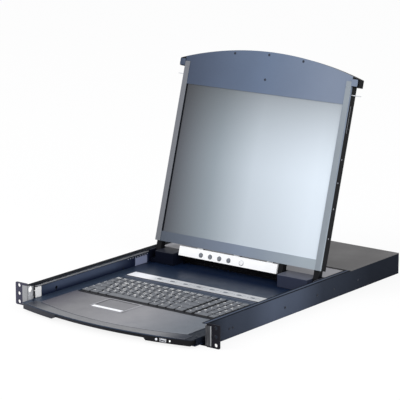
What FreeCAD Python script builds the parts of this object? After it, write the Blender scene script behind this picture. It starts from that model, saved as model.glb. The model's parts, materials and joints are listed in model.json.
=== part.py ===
import FreeCAD, Part
import math
import os

from FreeCAD import Vector

# Rackmount display console drawer, one rack unit high.
# X runs to the right, Y runs back into the rack and Z runs up, in millimetres.
# Heights below are measured from the underside of the chassis. On saving, every piece is
# lowered so that the origin is the middle of the ear hole pattern on the ears' front face.

# Rack standard
RACK_PANEL_WIDTH = 482.6
RACK_HOLE_INSET = 8.75
RACK_HOLE_SPACING_Z = 31.75
RACK_PANEL_HEIGHT = 43.6
RACK_HOLE_RADIUS = 3.5
EAR_THICKNESS = 2.0
EAR_CORNER_RADIUS = 3.0

# Chassis, set in from the outer edges of the ears and a little lower than they are
CHASSIS_SIDE_INSET = 28.3
CHASSIS_TOP_INSET = 1.6
CHASSIS_DEPTH = 630.0
CHASSIS_SHEET = 1.2
TOP_FLANGE_WIDTH = 12.0
REAR_COVER_DEPTH = 173.0
COVER_RETURN_HEIGHT = 9.0
SIDE_SCREW_HEIGHT = 18.0
SIDE_SCREW_PLACES = [66.0, 76.0, 238.0, 343.0, 399.0, 482.0]
SMALL_SCREW_RADIUS = 2.6
SMALL_SCREW_HEAD = 0.9
SMALL_SCREW_SHANK_RADIUS = 1.5
HEAD_SIDES = 12
SHANK_SIDES = 8
HEX_SIDES = 6
PILOT_CLEARANCE = 0.1
SHEET_GAP = 0.1

# Slides: three nested channels on each side, with two cages of balls between their lipped races
SLIDE_FRONT = 20.0
SLIDE_BACK_GAP = 1.0
SLIDE_ROOM = 10.0
SLIDE_TOP_GAP = 3.2
SLIDE_BOTTOM = 2.6
SLIDE_SHEET = 1.1
SLIDE_WEB_GAP = 0.6
SLIDE_LIP_DEPTH = 7.6
MIDDLE_LIP_DEPTH = 5.6
RACE_LIP_HEIGHT = 1.0
RACE_LIP_SHEET = 0.8
BALL_RADIUS = 1.5
BALL_CLEARANCE = 0.15
BALLS_PER_ROW = 4
BALL_CAGE_LENGTH = 150.0
BALL_CAGE_WIDTH = 3.5
BALL_CAGE_INSET = 0.3
BALL_CAGE_SHEET = 0.6
BALL_CAGE_PLACE = 0.3
INNER_MEMBER_LEAD = 6.0

# Slide front brackets
BRACKET_SHEET = 1.4
BRACKET_LEG_LENGTH = 19.0
BRACKET_FLANGE_REACH = 10.0
BRACKET_BOTTOM = 3.0
BRACKET_TOP_INSET = 2.5
LATCH_HOLE_RADIUS = 6.2
LATCH_HOLE_SETBACK = 11.1

# Drawer tray
TRAY_WALL_SHEET = 1.0
TRAY_SIDE_GAP = 0.8
TRAY_FLOOR_SHEET = 1.2
TRAY_FLOOR_BOTTOM = 3.2
TRAY_WALL_DROP = 6.0
TRAY_WALL_FRONT = 28.0
TRAY_FLOOR_FRONT = -20.0
TRAY_BACK_GAP = 0.5
TRAY_VENTS = 7
TRAY_VENT_SIZE = 2.6
TRAY_VENT_PITCH = 5.2
TRAY_VENT_SETBACK = 10.0
TRAY_VENT_DROP = 2.4

# Deck, palm rest and front lip; the lip and the display handle share one arch
ARCH_RISE = 27.7
ARCH_FRONT = -55.0
DECK_TOP = 16.0
DECK_SHEET = 1.5
PALM_INSET = 27.0
PALM_FRONT = 2.0
PALM_SHARE = 0.2751
PALM_THICKNESS = 1.0
PALM_CORNER_LEAD = 6.0
PALM_RISE = 30.0
GROOVE_WIDTH = 2.0
TRIM_INSET = 14.0
TRIM_THICKNESS = 0.8
TRIM_SETBACK = 0.8
GRIP_INSET = 3.0
GRIP_WALL = 3.0
GRIP_FLOOR = 1.5
GRIP_BACK = -14.0
RECESS_END_MARGIN = 97.0
RECESS_END_SLANT = 12.0
RECESS_DEPTH = 7.0
RECESS_BOTTOM = 6.5

# Touchpad
PAD_LEFT = -80.0
PAD_RIGHT = -10.0
PAD_DEPTH = 44.0
PAD_BACK_MARGIN = 12.0
PAD_THICKNESS = 2.4
PAD_BUTTON_DEPTH = 9.0
PAD_BUTTON_GAP = 3.0
PAD_BUTTON_TRAVEL = 0.8
PAD_SURROUND_MARGIN = 8.0
PAD_SURROUND_TAPER = 6.0
PAD_SURROUND_HEIGHT = 0.7
PAD_SINK = 0.4
PAD_OPENING_MARGIN = 1.0

# Keyboard
KEY_PITCH_SHARE = 0.05502
FUNCTION_ROW_SHARE = 0.859
KEY_GAP = 0.7
KEY_BLOCK_GAP = 4.0
KEY_END_GAP = 3.5
KEY_FRONT_GAP = 3.0
KEY_BACK_GAP = 6.0
KEY_ROWS = 5
KEY_TOP = 19.2
KEY_TAPER = 1.9
KEY_TRAVEL = 2.2
KEY_STOP_GAP = 0.6
STEM_WIDTH = 3.0
STEM_LENGTH = 3.6
WELL_INSET = 1.5
BOARD_TOP = 10.0
BOARD_SHEET = 1.6
STANDOFF_RADIUS = 3.0
BOARD_EDGE_GAP = 1.0
BOARD_SLOT_MARGIN = 4.0
BOARD_FOOT_INSET = 3.5

# Widths of the keys of each row, in key units, from left to right
BOTTOM_ROW_UNITS = [1.25, 1.25, 1.25, 6.25, 1.25, 1.25, 1.25, 1.25]
LOWER_ROW_UNITS = [2.25] + [1.0] * 10 + [2.75]
HOME_ROW_UNITS = [1.75] + [1.0] * 11 + [2.25]
UPPER_ROW_UNITS = [1.5] + [1.0] * 12 + [1.5]
NUMBER_ROW_UNITS = [1.0] * 13 + [2.0]
FUNCTION_ROW_UNITS = [1.0] * 15
PLAIN_PAD_UNITS = [1.0] * 4
BOTTOM_PAD_UNITS = [2.0, 1.0, 1.0]
MIDDLE_COLUMN_UNITS = [1.0]

# Port strip behind the keyboard
STRIP_LEFT_INSET = 4.0
STRIP_SETBACK_SHARE = 0.0602
STRIP_DEPTH_SHARE = 0.0802
STRIP_THICKNESS = 1.0
PORT_BUTTONS = 8
PORT_BUTTON_LEFT_MARGIN = 71.0
PORT_BUTTON_RIGHT_MARGIN = 47.0
PORT_BUTTON_LENGTH = 9.0
PORT_BUTTON_DEPTH = 5.0
PORT_BUTTON_TRAVEL = 0.4

# Front sockets, on the right part of the lip
LIGHT_INSET = 37.7
LIGHT_TO_USB = 13.5
USB_TO_RESET = 13.1
SOCKET_HEIGHT = 9.6
RESET_RADIUS = 2.4
SOCKET_SHAFT_LENGTH = 6.0
USB_WIDTH = 13.2
USB_HEIGHT = 5.8
USB_DEPTH = 14.0
USB_WALL = 0.4
USB_TONGUE_INSET = 1.2
USB_TONGUE_SETBACK = 1.0
USB_TONGUE_THICKNESS = 1.8
USB_TONGUE_DROP = 0.4
LIGHT_RADIUS = 1.5
LIGHT_PROUD = 0.5

# Display hinge and housings
HINGE_SETBACK = 84.6
HINGE_DROP = 10.2
HINGE_PIN_RADIUS = 3.0
HINGE_BORE_CLEARANCE = 0.08
HINGE_BARREL_RADIUS = 6.0
HINGE_BOX_FRONT_REACH = 20.9
HINGE_BOX_BACK_REACH = 18.1
HINGE_BOX_DROP = 0.8
HINGE_BOX_EDGE_RADIUS = 1.2
HINGE_END_WALL = 1.0
LEFT_BOX_REACH = 45.0
RIGHT_BOX_REACH = 70.6
ARM_SIDE_GAP = 0.6
OUTER_ARM_INSET = 3.0
OUTER_ARM_WIDTH = 12.0
INNER_ARM_WIDTH = 10.4
INNER_ARM_GAP = 1.0
PIN_REACH = 18.0
PIN_STUB = 1.0
PIN_END_GAP = 0.5
SLOT_FLOOR_DROP = 7.4
SLOT_BACK_REACH = 15.2

# Rear deck of the drawer
REAR_DECK_DROP = 1.9
REAR_DECK_FRONT_GAP = 1.0
REAR_DECK_BACK_GAP = 1.5
REAR_DECK_SHEET = 1.2
CONTROL_BOARD_INSET = 60.0
CONTROL_BOARD_MARGIN = 5.0

# Screws on the deck and on the tray walls
DECK_SCREW_INSET = 7.0
DECK_SCREW_FRONT_GAP = 6.4
DECK_SCREW_BACK_GAP = 16.0
TRAY_SCREW_PLACES = [69.0, 270.0]
TRAY_SCREW_Z = 18.6
TRAY_SCREW_RADIUS = 2.2
TRAY_SCREW_HEAD = 0.4

# Display: u across, v up the screen from its bottom edge, w out of the face
DISPLAY_TILT = 15.92
DISPLAY_THICKNESS = 20.0
HINGE_BELOW = 25.0
HINGE_BEHIND = 9.0
FRAME_SKIN = 1.6
FRAME_RIM_DEPTH = 4.0
FRAME_WALL = 2.0
BACK_SHEET = 1.0
SCREEN_SIDE_MARGIN = 13.0
SCREEN_BOTTOM = 20.0
HANDLE_DEPTH = 82.3
GLASS_MARGIN = 2.5
GLASS_THICKNESS = 1.8
MODULE_SIDE_GAP = 5.0
MODULE_BELOW_SCREEN = 12.0
MODULE_ABOVE_SCREEN = 12.4
MODULE_DEPTH = 11.0
MODULE_SHEET = 0.8
STRIP_WIDTH_SIDE = 12.0
STRIP_TOP_GAP = 0.6
STRIP_RAISE = 1.0
VENT_ROWS = 2
VENTS_PER_ROW = 9
VENT_LENGTH = 24.0
VENT_WIDTH = 3.0
VENT_PITCH = 34.0
VENT_ROW_PITCH = 190.0
VENT_FIRST_ROW = 60.0

# Control bar below the screen
BAR_LEFT_GAP = 3.0
BAR_RIGHT_GAP = 1.5
BAR_TOP = -2.5
BAR_BOTTOM = -21.5
BAR_FACE = -0.5
BAR_DEPTH = 15.0
BAR_WALL = 1.8
BAR_TAB_WIDTH = 14.0
BAR_TAB_INSET = 2.0
BAR_TAB_SHARES = [0.2, 0.575, 0.91]
MENU_BUTTON_FIRST_SHARE = 0.2302
MENU_BUTTON_PITCH_SHARE = 0.0952
MENU_BUTTONS = 4
BUTTON_ROW_V = -13.4
MENU_BUTTON_RADIUS = 4.0
POWER_BUTTON_SHARE = 0.6461
POWER_BUTTON_RADIUS = 4.6
BUTTON_TRAVEL = 0.8
BUTTON_EDGE = 0.5
PRESSED_PROUD = 0.1
BUTTON_CLEARANCE = 0.35
BUTTON_COLLAR = 1.0
BUTTON_COLLAR_THICKNESS = 1.0

# Release catches and latch wires at the ends of the handle
WING_REACH = 13.3
WING_HEIGHT = 47.3
WING_FACE = -3.6
CATCH_SIZE_U = 13.0
CATCH_SIZE_V = 13.4
CATCH_OUTER_MARGIN = 0.8
CATCH_BOTTOM_MARGIN = 1.2
CATCH_THICKNESS = 2.0
CATCH_PROUD = 1.5
CATCH_TRAVEL = 2.8
CATCH_STEM = 4.0
CATCH_STEM_LENGTH = 7.0
CATCH_CORNER_RADIUS = 1.5
WIRE_W = -9.5
WIRE_SPAN = 8.0
WIRE_RADIUS = 0.8
WIRE_ROOT_INSET = 14.0
WIRE_DRAWN_IN_REACH = 8.0
WIRE_TIP_FLAT = 0.4
WIRE_TRAVEL = 11.0

# Handle screws
HANDLE_SCREW_SPACING = 82.0
HANDLE_SCREW_INSET = 6.0
LOWER_HANDLE_SCREW_DROP = 54.9

# Rear panel fittings
INLET_INSET = 35.0
INLET_WIDTH = 27.4
INLET_HEIGHT = 20.0
INLET_DEPTH = 18.0
INLET_WALL = 2.0
INLET_FLANGE = 2.0
INLET_FLANGE_MARGIN_X = 9.0
INLET_FLANGE_MARGIN_Z = 2.0
INLET_CHAMFER = 4.0
INLET_PIN_SPACING = 7.0
INLET_PIN_LENGTH = 7.0
INLET_PIN_WIDTH = 2.0
INLET_PIN_HEIGHT = 4.0
INLET_PIN_LIFT = 2.0
INLET_TO_SWITCH = 40.0
SWITCH_WIDTH = 13.0
SWITCH_HEIGHT = 15.0
SWITCH_ANGLE = 8.0
SWITCH_PROUD = 0.5
SWITCH_TIP_INSET = 1.0
SWITCH_TAIL_DEPTH = 6.0
SWITCH_TAIL_TAPER = 0.7
SWITCH_WELL_DEPTH = 12.0
SWITCH_SIDE_WALL = 2.4
SWITCH_PIVOT_RADIUS = 1.2
SWITCH_PIVOT_CLEARANCE = 0.08
SWITCH_PIVOT_REACH = 1.2
SWITCH_TO_PORT = 46.0
PORT_END_INSET = 53.0
PORT_PITCH = 36.0
PORT_WIDTH = 17.0
PORT_HEIGHT = 8.4
PORT_SLANT = 1.5
PORT_REACH = 6.0
PORT_FLANGE_WIDTH = 31.0
PORT_FLANGE_HEIGHT = 12.6
PORT_FLANGE_SHEET = 1.0
PORT_BODY_DEPTH = 9.0
JACK_RADIUS = 2.6
JACK_SPACING = 25.0
JACK_REACH = 5.0

# Boards and supply in the rear bay
BAY_GAP = 6.0
SUPPLY_WIDTH = 96.0
SUPPLY_DEPTH = 118.0
SUPPLY_HEADROOM = 12.0
SWITCH_BOARD_GAP = 8.0
CHIP_SIZE = 36.0
CHIP_HEIGHT = 8.0
STANDOFF_HEIGHT = 5.0
SEAT_GAP = 0.3
CASE_EDGE_RADIUS = 1.0

# Cutting tools pass this far beyond the faces they cut
OVERRUN = 1.0
SMALL = 0.01

# Sizes that follow from the ones above: chassis and slides
ORIGIN_HEIGHT = RACK_PANEL_HEIGHT / 2.0
CHASSIS_OUTER = RACK_PANEL_WIDTH / 2.0 - CHASSIS_SIDE_INSET
CHASSIS_HEIGHT = RACK_PANEL_HEIGHT - CHASSIS_TOP_INSET
CHASSIS_INNER = CHASSIS_OUTER - CHASSIS_SHEET
CHASSIS_LINED = CHASSIS_INNER - SHEET_GAP
COVER_FRONT = CHASSIS_DEPTH - REAR_COVER_DEPTH
BRACKET_FLANGE_EDGE = CHASSIS_OUTER + BRACKET_FLANGE_REACH
BRACKET_TOP = CHASSIS_HEIGHT - BRACKET_TOP_INSET
SLIDE_BACK = COVER_FRONT - SLIDE_BACK_GAP
SLIDE_LENGTH = SLIDE_BACK - SLIDE_FRONT
SLIDE_TOP = CHASSIS_HEIGHT - CHASSIS_SHEET - SLIDE_TOP_GAP
SLIDE_MIDDLE_Z = (SLIDE_BOTTOM + SLIDE_TOP) / 2.0
BALL_ROOM = 2.0 * (BALL_RADIUS + BALL_CLEARANCE)
MIDDLE_WEB = CHASSIS_INNER - SLIDE_SHEET - SLIDE_WEB_GAP
BALL_LINE = MIDDLE_WEB - SLIDE_SHEET - SEAT_GAP - BALL_RADIUS

# Drawer, from the slides inwards
TRAY_WALL_OUTER = CHASSIS_INNER - SLIDE_ROOM
TRAY_WALL_INNER = TRAY_WALL_OUTER - TRAY_WALL_SHEET
TRAY_WALL_TOP = CHASSIS_HEIGHT - TRAY_WALL_DROP
TRAY_FLOOR_TOP = TRAY_FLOOR_BOTTOM + TRAY_FLOOR_SHEET
TRAY_BACK = COVER_FRONT - TRAY_BACK_GAP
DECK_HALF_WIDTH = TRAY_WALL_INNER - TRAY_SIDE_GAP
DECK_UNDERSIDE = DECK_TOP - DECK_SHEET
ARCH_RADIUS = (DECK_HALF_WIDTH ** 2 + ARCH_RISE ** 2) / (2.0 * ARCH_RISE)
DECK_SCREW_X = DECK_HALF_WIDTH - DECK_SCREW_INSET
PALM_HALF_WIDTH = DECK_HALF_WIDTH - PALM_INSET
PALM_TOP = DECK_TOP + PALM_THICKNESS
PALM_CORNER_Y = PALM_FRONT - PALM_CORNER_LEAD
PAD_SURROUND_TOP = PALM_TOP + PAD_SURROUND_HEIGHT
TRIM_HALF_WIDTH = DECK_HALF_WIDTH - TRIM_INSET
GRIP_HALF_WIDTH = DECK_HALF_WIDTH - GRIP_INSET
RECESS_HALF_WIDTH = GRIP_HALF_WIDTH - RECESS_END_MARGIN
LIGHT_X = GRIP_HALF_WIDTH - LIGHT_INSET
USB_X = LIGHT_X - LIGHT_TO_USB
RESET_X = USB_X - USB_TO_RESET
CONTROL_BOARD_HALF_WIDTH = DECK_HALF_WIDTH - CONTROL_BOARD_INSET

# Hinge axis, with the boxes that stand behind the keyboard
HINGE_Y = TRAY_BACK - HINGE_SETBACK
HINGE_BOX_FRONT = HINGE_Y - HINGE_BOX_FRONT_REACH
HINGE_BOX_TOP = CHASSIS_HEIGHT - HINGE_BOX_DROP
HINGE_Z = HINGE_BOX_TOP - HINGE_DROP
DECK_BACK = HINGE_Y + HINGE_BOX_BACK_REACH

# Palm rest, keyboard and port strip, which share the deck in front of the hinge boxes
DESK_DEPTH = HINGE_BOX_FRONT - PALM_FRONT
PALM_BACK = PALM_FRONT + DESK_DEPTH * PALM_SHARE
PAD_BACK = PALM_BACK - PAD_BACK_MARGIN
PAD_FRONT = PAD_BACK - PAD_DEPTH
KEY_PITCH_Y = DESK_DEPTH * KEY_PITCH_SHARE
FUNCTION_PITCH_Y = KEY_PITCH_Y * FUNCTION_ROW_SHARE
DECK_SCREW_PLACES = [PALM_FRONT - DECK_SCREW_FRONT_GAP, HINGE_BOX_FRONT - DECK_SCREW_BACK_GAP]
KEY_SKIRT = BOARD_TOP + KEY_TRAVEL + KEY_STOP_GAP
SPACE_BAR_UNITS = max(BOTTOM_ROW_UNITS)
KEYBOARD_UNITS = sum(FUNCTION_ROW_UNITS) + sum(MIDDLE_COLUMN_UNITS) + sum(PLAIN_PAD_UNITS)
WELL_HALF_WIDTH = PALM_HALF_WIDTH - WELL_INSET
WELL_FRONT = PALM_BACK + WELL_INSET
KEYBOARD_WIDTH = 2.0 * (WELL_HALF_WIDTH - KEY_END_GAP)
KEY_PITCH_X = (KEYBOARD_WIDTH - 2.0 * KEY_BLOCK_GAP) / KEYBOARD_UNITS
KEY_FRONT = WELL_FRONT + KEY_FRONT_GAP
WELL_BACK = KEY_FRONT + KEY_ROWS * KEY_PITCH_Y + FUNCTION_PITCH_Y + KEY_BACK_GAP
STRIP_LEFT = -PALM_HALF_WIDTH + STRIP_LEFT_INSET
STRIP_RIGHT = PALM_HALF_WIDTH
STRIP_FRONT = WELL_BACK + DESK_DEPTH * STRIP_SETBACK_SHARE
STRIP_BACK = STRIP_FRONT + DESK_DEPTH * STRIP_DEPTH_SHARE
PORT_BUTTON_FIRST = STRIP_LEFT + PORT_BUTTON_LEFT_MARGIN
PORT_BUTTON_PITCH = (STRIP_RIGHT - PORT_BUTTON_RIGHT_MARGIN - PORT_BUTTON_FIRST) / (PORT_BUTTONS - 1)
PORT_BUTTON_PROUD = PORT_BUTTON_TRAVEL + PRESSED_PROUD
BUTTON_PROUD = BUTTON_TRAVEL + PRESSED_PROUD

# Hinge arms and the boxes that hold them
OUTER_ARM_OUTER = DECK_HALF_WIDTH - OUTER_ARM_INSET
OUTER_ARM_INNER = OUTER_ARM_OUTER - OUTER_ARM_WIDTH
LEFT_BOX_INNER = -OUTER_ARM_INNER + LEFT_BOX_REACH
RIGHT_BOX_INNER = OUTER_ARM_INNER - RIGHT_BOX_REACH
INNER_ARM_RIGHT = RIGHT_BOX_INNER - INNER_ARM_GAP
INNER_ARM_LEFT = INNER_ARM_RIGHT - INNER_ARM_WIDTH
REAR_DECK_TOP = CHASSIS_HEIGHT - REAR_DECK_DROP
REAR_DECK_FRONT = DECK_BACK + REAR_DECK_FRONT_GAP
REAR_DECK_BACK = TRAY_BACK - REAR_DECK_BACK_GAP

# Display: as wide as the deck, and its handle meets the front lip when it is folded down
DISPLAY_HALF_WIDTH = DECK_HALF_WIDTH
DISPLAY_CROWN = HINGE_Y - ARCH_FRONT - HINGE_BELOW
FRAME_BACK = -FRAME_RIM_DEPTH
DISPLAY_BACK = -DISPLAY_THICKNESS
SCREEN_HALF_WIDTH = DISPLAY_HALF_WIDTH - SCREEN_SIDE_MARGIN
SCREEN_TOP = DISPLAY_CROWN - HANDLE_DEPTH
MODULE_HALF_WIDTH = DISPLAY_HALF_WIDTH - MODULE_SIDE_GAP
MODULE_BOTTOM = SCREEN_BOTTOM - MODULE_BELOW_SCREEN
MODULE_TOP = SCREEN_TOP + MODULE_ABOVE_SCREEN
BAR_LEFT = LEFT_BOX_INNER + BAR_LEFT_GAP
BAR_RIGHT = INNER_ARM_LEFT - BAR_RIGHT_GAP
BAR_LENGTH = BAR_RIGHT - BAR_LEFT
POWER_BUTTON_U = BAR_LEFT + POWER_BUTTON_SHARE * BAR_LENGTH
WING_OUTER = DISPLAY_HALF_WIDTH + WING_REACH
WING_BOTTOM = DISPLAY_CROWN - WING_HEIGHT
STRIP_TOP_SIDE = WING_BOTTOM - STRIP_TOP_GAP

# The latch wires swing down in front of the holes in the slide brackets
LATCH_Y = BRACKET_LEG_LENGTH - LATCH_HOLE_SETBACK
LATCH_Z = HINGE_Z - (WIRE_W + HINGE_BEHIND)
WIRE_V = HINGE_Y - LATCH_Y - HINGE_BELOW
WIRE_ROOT = DISPLAY_HALF_WIDTH - WIRE_ROOT_INSET
WIRE_TIP = DISPLAY_HALF_WIDTH + WIRE_DRAWN_IN_REACH + WIRE_TRAVEL

# Rear panel, with as many console ports as fit beside the inlet
INLET_X = -CHASSIS_OUTER + INLET_INSET
SWITCH_X = INLET_X + INLET_TO_SWITCH
PORT_FIRST_X = SWITCH_X + SWITCH_TO_PORT
PORT_COUNT = 1 + int((CHASSIS_OUTER - PORT_END_INSET - PORT_FIRST_X) / PORT_PITCH + SMALL)
REAR_FITTING_HEIGHT = CHASSIS_HEIGHT / 2.0
RACK_HOLE_X = RACK_PANEL_WIDTH / 2.0 - RACK_HOLE_INSET

X_AXIS = Vector(1, 0, 0)
Y_AXIS = Vector(0, 1, 0)
Z_AXIS = Vector(0, 0, 1)
ORIGIN = Vector(0, 0, 0)


# Helpers

def box(x0, x1, y0, y1, z0, z1):
    return Part.makeBox(x1 - x0, y1 - y0, z1 - z0, Vector(x0, y0, z0))


def rod(radius, start, end):
    along = end - start
    return Part.makeCylinder(radius, along.Length, start, along)


def flat_sided_rod(radius, start, end, sides):
    """Straight rod with flat sides, its corners on the radius."""
    along = end - start
    reference = X_AXIS if abs(along.x) < SMALL else Z_AXIS
    across = along.cross(reference).normalize()
    upwards = along.cross(across).normalize()
    points = []
    for index in range(sides):
        angle = 2.0 * math.pi * (index + 0.5) / sides
        points.append(start + across * (radius * math.cos(angle)) + upwards * (radius * math.sin(angle)))
    return prism(points, along)


def mirrored(shape):
    return shape.mirror(ORIGIN, X_AXIS)


def round_edges(solid, radius, direction):
    edges = []
    for edge in solid.Edges:
        if edge.Curve.TypeId == "Part::GeomLine" and abs(edge.Curve.Direction.dot(direction)) > 0.999:
            edges.append(edge)
    return solid.makeFillet(radius, edges)


def prism(points, sweep):
    wire = Part.makePolygon(points + [points[0]])
    return Part.Face(wire).extrude(sweep)


def arch_drop(half_width):
    return ARCH_RADIUS - math.sqrt(ARCH_RADIUS ** 2 - half_width ** 2)


def arched_plate(half_width, straight_y, crown_y, z0, z1, rise=None):
    """Plate with one straight edge and one arched edge, seen in plan."""
    towards = 1.0 if crown_y > straight_y else -1.0
    drop = arch_drop(half_width) if rise is None else rise
    shoulder_y = crown_y - towards * drop
    left_foot = Vector(-half_width, straight_y, z0)
    right_foot = Vector(half_width, straight_y, z0)
    left_shoulder = Vector(-half_width, shoulder_y, z0)
    right_shoulder = Vector(half_width, shoulder_y, z0)
    crown = Vector(0, crown_y, z0)
    edges = [
        Part.LineSegment(left_foot, right_foot).toShape(),
        Part.LineSegment(right_foot, right_shoulder).toShape(),
        Part.Arc(right_shoulder, crown, left_shoulder).toShape(),
        Part.LineSegment(left_shoulder, left_foot).toShape(),
    ]
    return Part.Face(Part.Wire(edges)).extrude(Vector(0, 0, z1 - z0))


def front_arch_y(x):
    return ARCH_FRONT + arch_drop(x)


def tapered_block(x0, x1, y0, y1, z0, z1, inset):
    """Block whose four sides lean in towards its top."""
    wedge = Part.makeWedge(x0, z0, -y1, inset - y1, x0 + inset, x1, z1, -y0, -y0 - inset, x1 - inset)
    wedge.rotate(ORIGIN, X_AXIS, 90.0)
    return wedge


def join(shapes):
    result = shapes[0]
    if len(shapes) > 1:
        result = result.multiFuse(shapes[1:]).removeSplitter()
    return result


def cut(shape, tools):
    return shape.cut(Part.makeCompound(tools)).removeSplitter()


def screw_head(place, outwards, shank):
    """Domed screw head with its shank, seated at a place on a surface."""
    head = flat_sided_rod(SMALL_SCREW_RADIUS, place, place + outwards * SMALL_SCREW_HEAD, HEAD_SIDES)
    body = flat_sided_rod(SMALL_SCREW_SHANK_RADIUS, place - outwards * shank, place, SHANK_SIDES)
    rim = []
    for edge in head.Edges:
        if (edge.CenterOfMass - place).dot(outwards) > SMALL_SCREW_HEAD - SMALL:
            rim.append(edge)
    head = head.makeChamfer(SMALL_SCREW_HEAD / 2.0, rim)
    return join([head, body])


def save(name, solids):
    whole = Part.makeCompound(solids)
    whole.translate(Vector(0, 0, -ORIGIN_HEIGHT))
    whole.exportStep("parts/" + name + ".step")


def stand_display(shape):
    """Move a piece from the display's own u, v, w frame to its raised place."""
    placed = shape.copy()
    placed.translate(Vector(0, HINGE_BELOW, HINGE_BEHIND))
    placed.rotate(ORIGIN, X_AXIS, 90.0 - DISPLAY_TILT)
    placed.translate(Vector(0, HINGE_Y, HINGE_Z))
    return placed


def save_display(name, solids):
    save(name, [stand_display(solid) for solid in solids])


# Chassis

def chassis_pan():
    floor = box(-CHASSIS_OUTER, CHASSIS_OUTER, EAR_THICKNESS, CHASSIS_DEPTH, 0, CHASSIS_SHEET)
    wall_top = CHASSIS_HEIGHT - CHASSIS_SHEET
    wall = box(CHASSIS_INNER, CHASSIS_OUTER, EAR_THICKNESS, CHASSIS_DEPTH, 0, wall_top)
    flange_inner = CHASSIS_OUTER - TOP_FLANGE_WIDTH
    flange = box(flange_inner, CHASSIS_OUTER, EAR_THICKNESS, COVER_FRONT - SEAT_GAP, wall_top, CHASSIS_HEIGHT)
    pan = join([floor, wall, mirrored(wall), flange, mirrored(flange)])
    holes = [latch_hole(CHASSIS_INNER, CHASSIS_OUTER)]
    for y in SIDE_SCREW_PLACES:
        holes.append(side_screw_hole(y))
    holes = holes + [mirrored(hole) for hole in holes]
    return cut(pan, holes)


def latch_hole(inner_x, outer_x):
    start = Vector(inner_x - OVERRUN, LATCH_Y, LATCH_Z)
    return rod(LATCH_HOLE_RADIUS, start, Vector(outer_x + OVERRUN, LATCH_Y, LATCH_Z))


def screw_hole(start, end):
    return flat_sided_rod(SMALL_SCREW_SHANK_RADIUS + PILOT_CLEARANCE, start, end, SHANK_SIDES)


def side_screw_hole(y):
    start = Vector(CHASSIS_INNER - SLIDE_SHEET - OVERRUN, y, SIDE_SCREW_HEIGHT)
    return screw_hole(start, Vector(CHASSIS_OUTER + OVERRUN, y, SIDE_SCREW_HEIGHT))


def chassis_screws():
    """Screws that hold the slides to the walls, and two that hold the mains inlet."""
    solids = []
    for y in SIDE_SCREW_PLACES:
        place = Vector(CHASSIS_OUTER, y, SIDE_SCREW_HEIGHT)
        solid = screw_head(place, X_AXIS, CHASSIS_SHEET)
        solids.append(solid)
        solids.append(mirrored(solid))
    for x in inlet_screw_places():
        place = Vector(x, CHASSIS_DEPTH + INLET_FLANGE, REAR_FITTING_HEIGHT)
        solids.append(screw_head(place, Y_AXIS, INLET_FLANGE + CHASSIS_SHEET))
    return solids


def inlet_screw_places():
    half = INLET_FLANGE_MARGIN_X / 2
    return [INLET_X - INLET_WIDTH / 2 - half, module_right_end() + half]


def inlet_screw_holes():
    z = REAR_FITTING_HEIGHT
    holes = []
    for x in inlet_screw_places():
        start = Vector(x, CHASSIS_DEPTH - CHASSIS_SHEET - OVERRUN, z)
        holes.append(screw_hole(start, Vector(x, CHASSIS_DEPTH + INLET_FLANGE + OVERRUN, z)))
    return holes


def rack_ear():
    inner = CHASSIS_INNER + SEAT_GAP
    outer = RACK_PANEL_WIDTH / 2.0
    plate = box(inner, outer, 0, EAR_THICKNESS, 0, RACK_PANEL_HEIGHT)
    corners = []
    for edge in plate.Edges:
        if abs(edge.Curve.Direction.dot(Y_AXIS)) > 0.999 and edge.CenterOfMass.x > outer - EAR_CORNER_RADIUS:
            corners.append(edge)
    plate = plate.makeFillet(EAR_CORNER_RADIUS, corners)
    holes = []
    for step in (-1, 0, 1):
        z = RACK_PANEL_HEIGHT / 2.0 + step * RACK_HOLE_SPACING_Z / 2.0
        start = Vector(RACK_HOLE_X, -OVERRUN, z)
        holes.append(rod(RACK_HOLE_RADIUS, start, Vector(RACK_HOLE_X, EAR_THICKNESS + OVERRUN, z)))
    return cut(plate, holes)


def slide_bracket():
    leg_outer = CHASSIS_LINED
    leg_inner = leg_outer - BRACKET_SHEET
    leg = box(leg_inner, leg_outer, -BRACKET_SHEET, BRACKET_LEG_LENGTH, BRACKET_BOTTOM, BRACKET_TOP)
    flange = box(leg_inner, BRACKET_FLANGE_EDGE, -BRACKET_SHEET, 0, BRACKET_BOTTOM, BRACKET_TOP)
    return cut(join([leg, flange]), [latch_hole(leg_inner, leg_outer)])


def rear_top_cover():
    z0 = CHASSIS_HEIGHT - CHASSIS_SHEET
    plate = box(-CHASSIS_OUTER, CHASSIS_OUTER, COVER_FRONT, CHASSIS_DEPTH, z0, CHASSIS_HEIGHT)
    outer = CHASSIS_LINED
    inner = outer - CHASSIS_SHEET
    back = CHASSIS_DEPTH - CHASSIS_SHEET - SEAT_GAP
    side = box(inner, outer, COVER_FRONT, back, z0 - COVER_RETURN_HEIGHT, z0)
    lip = box(-inner, inner, COVER_FRONT, COVER_FRONT + CHASSIS_SHEET, z0 - COVER_RETURN_HEIGHT, z0)
    return join([plate, side, mirrored(side), lip])


def module_right_end():
    return SWITCH_X + SWITCH_WIDTH / 2 + SEAT_GAP + SWITCH_SIDE_WALL


def rear_fitting_cutouts():
    z = REAR_FITTING_HEIGHT
    y0 = CHASSIS_DEPTH - CHASSIS_SHEET - OVERRUN
    y1 = CHASSIS_DEPTH + OVERRUN
    left = INLET_X - INLET_WIDTH / 2
    tools = [box(left, module_right_end(), y0, y1, z - INLET_HEIGHT / 2, z + INLET_HEIGHT / 2)]
    for x in port_places():
        tools.append(box(x - PORT_WIDTH / 2, x + PORT_WIDTH / 2, y0, y1,
                         z - PORT_HEIGHT / 2, z + PORT_HEIGHT / 2))
    return tools


def port_places():
    return [PORT_FIRST_X + index * PORT_PITCH for index in range(PORT_COUNT)]


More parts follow.
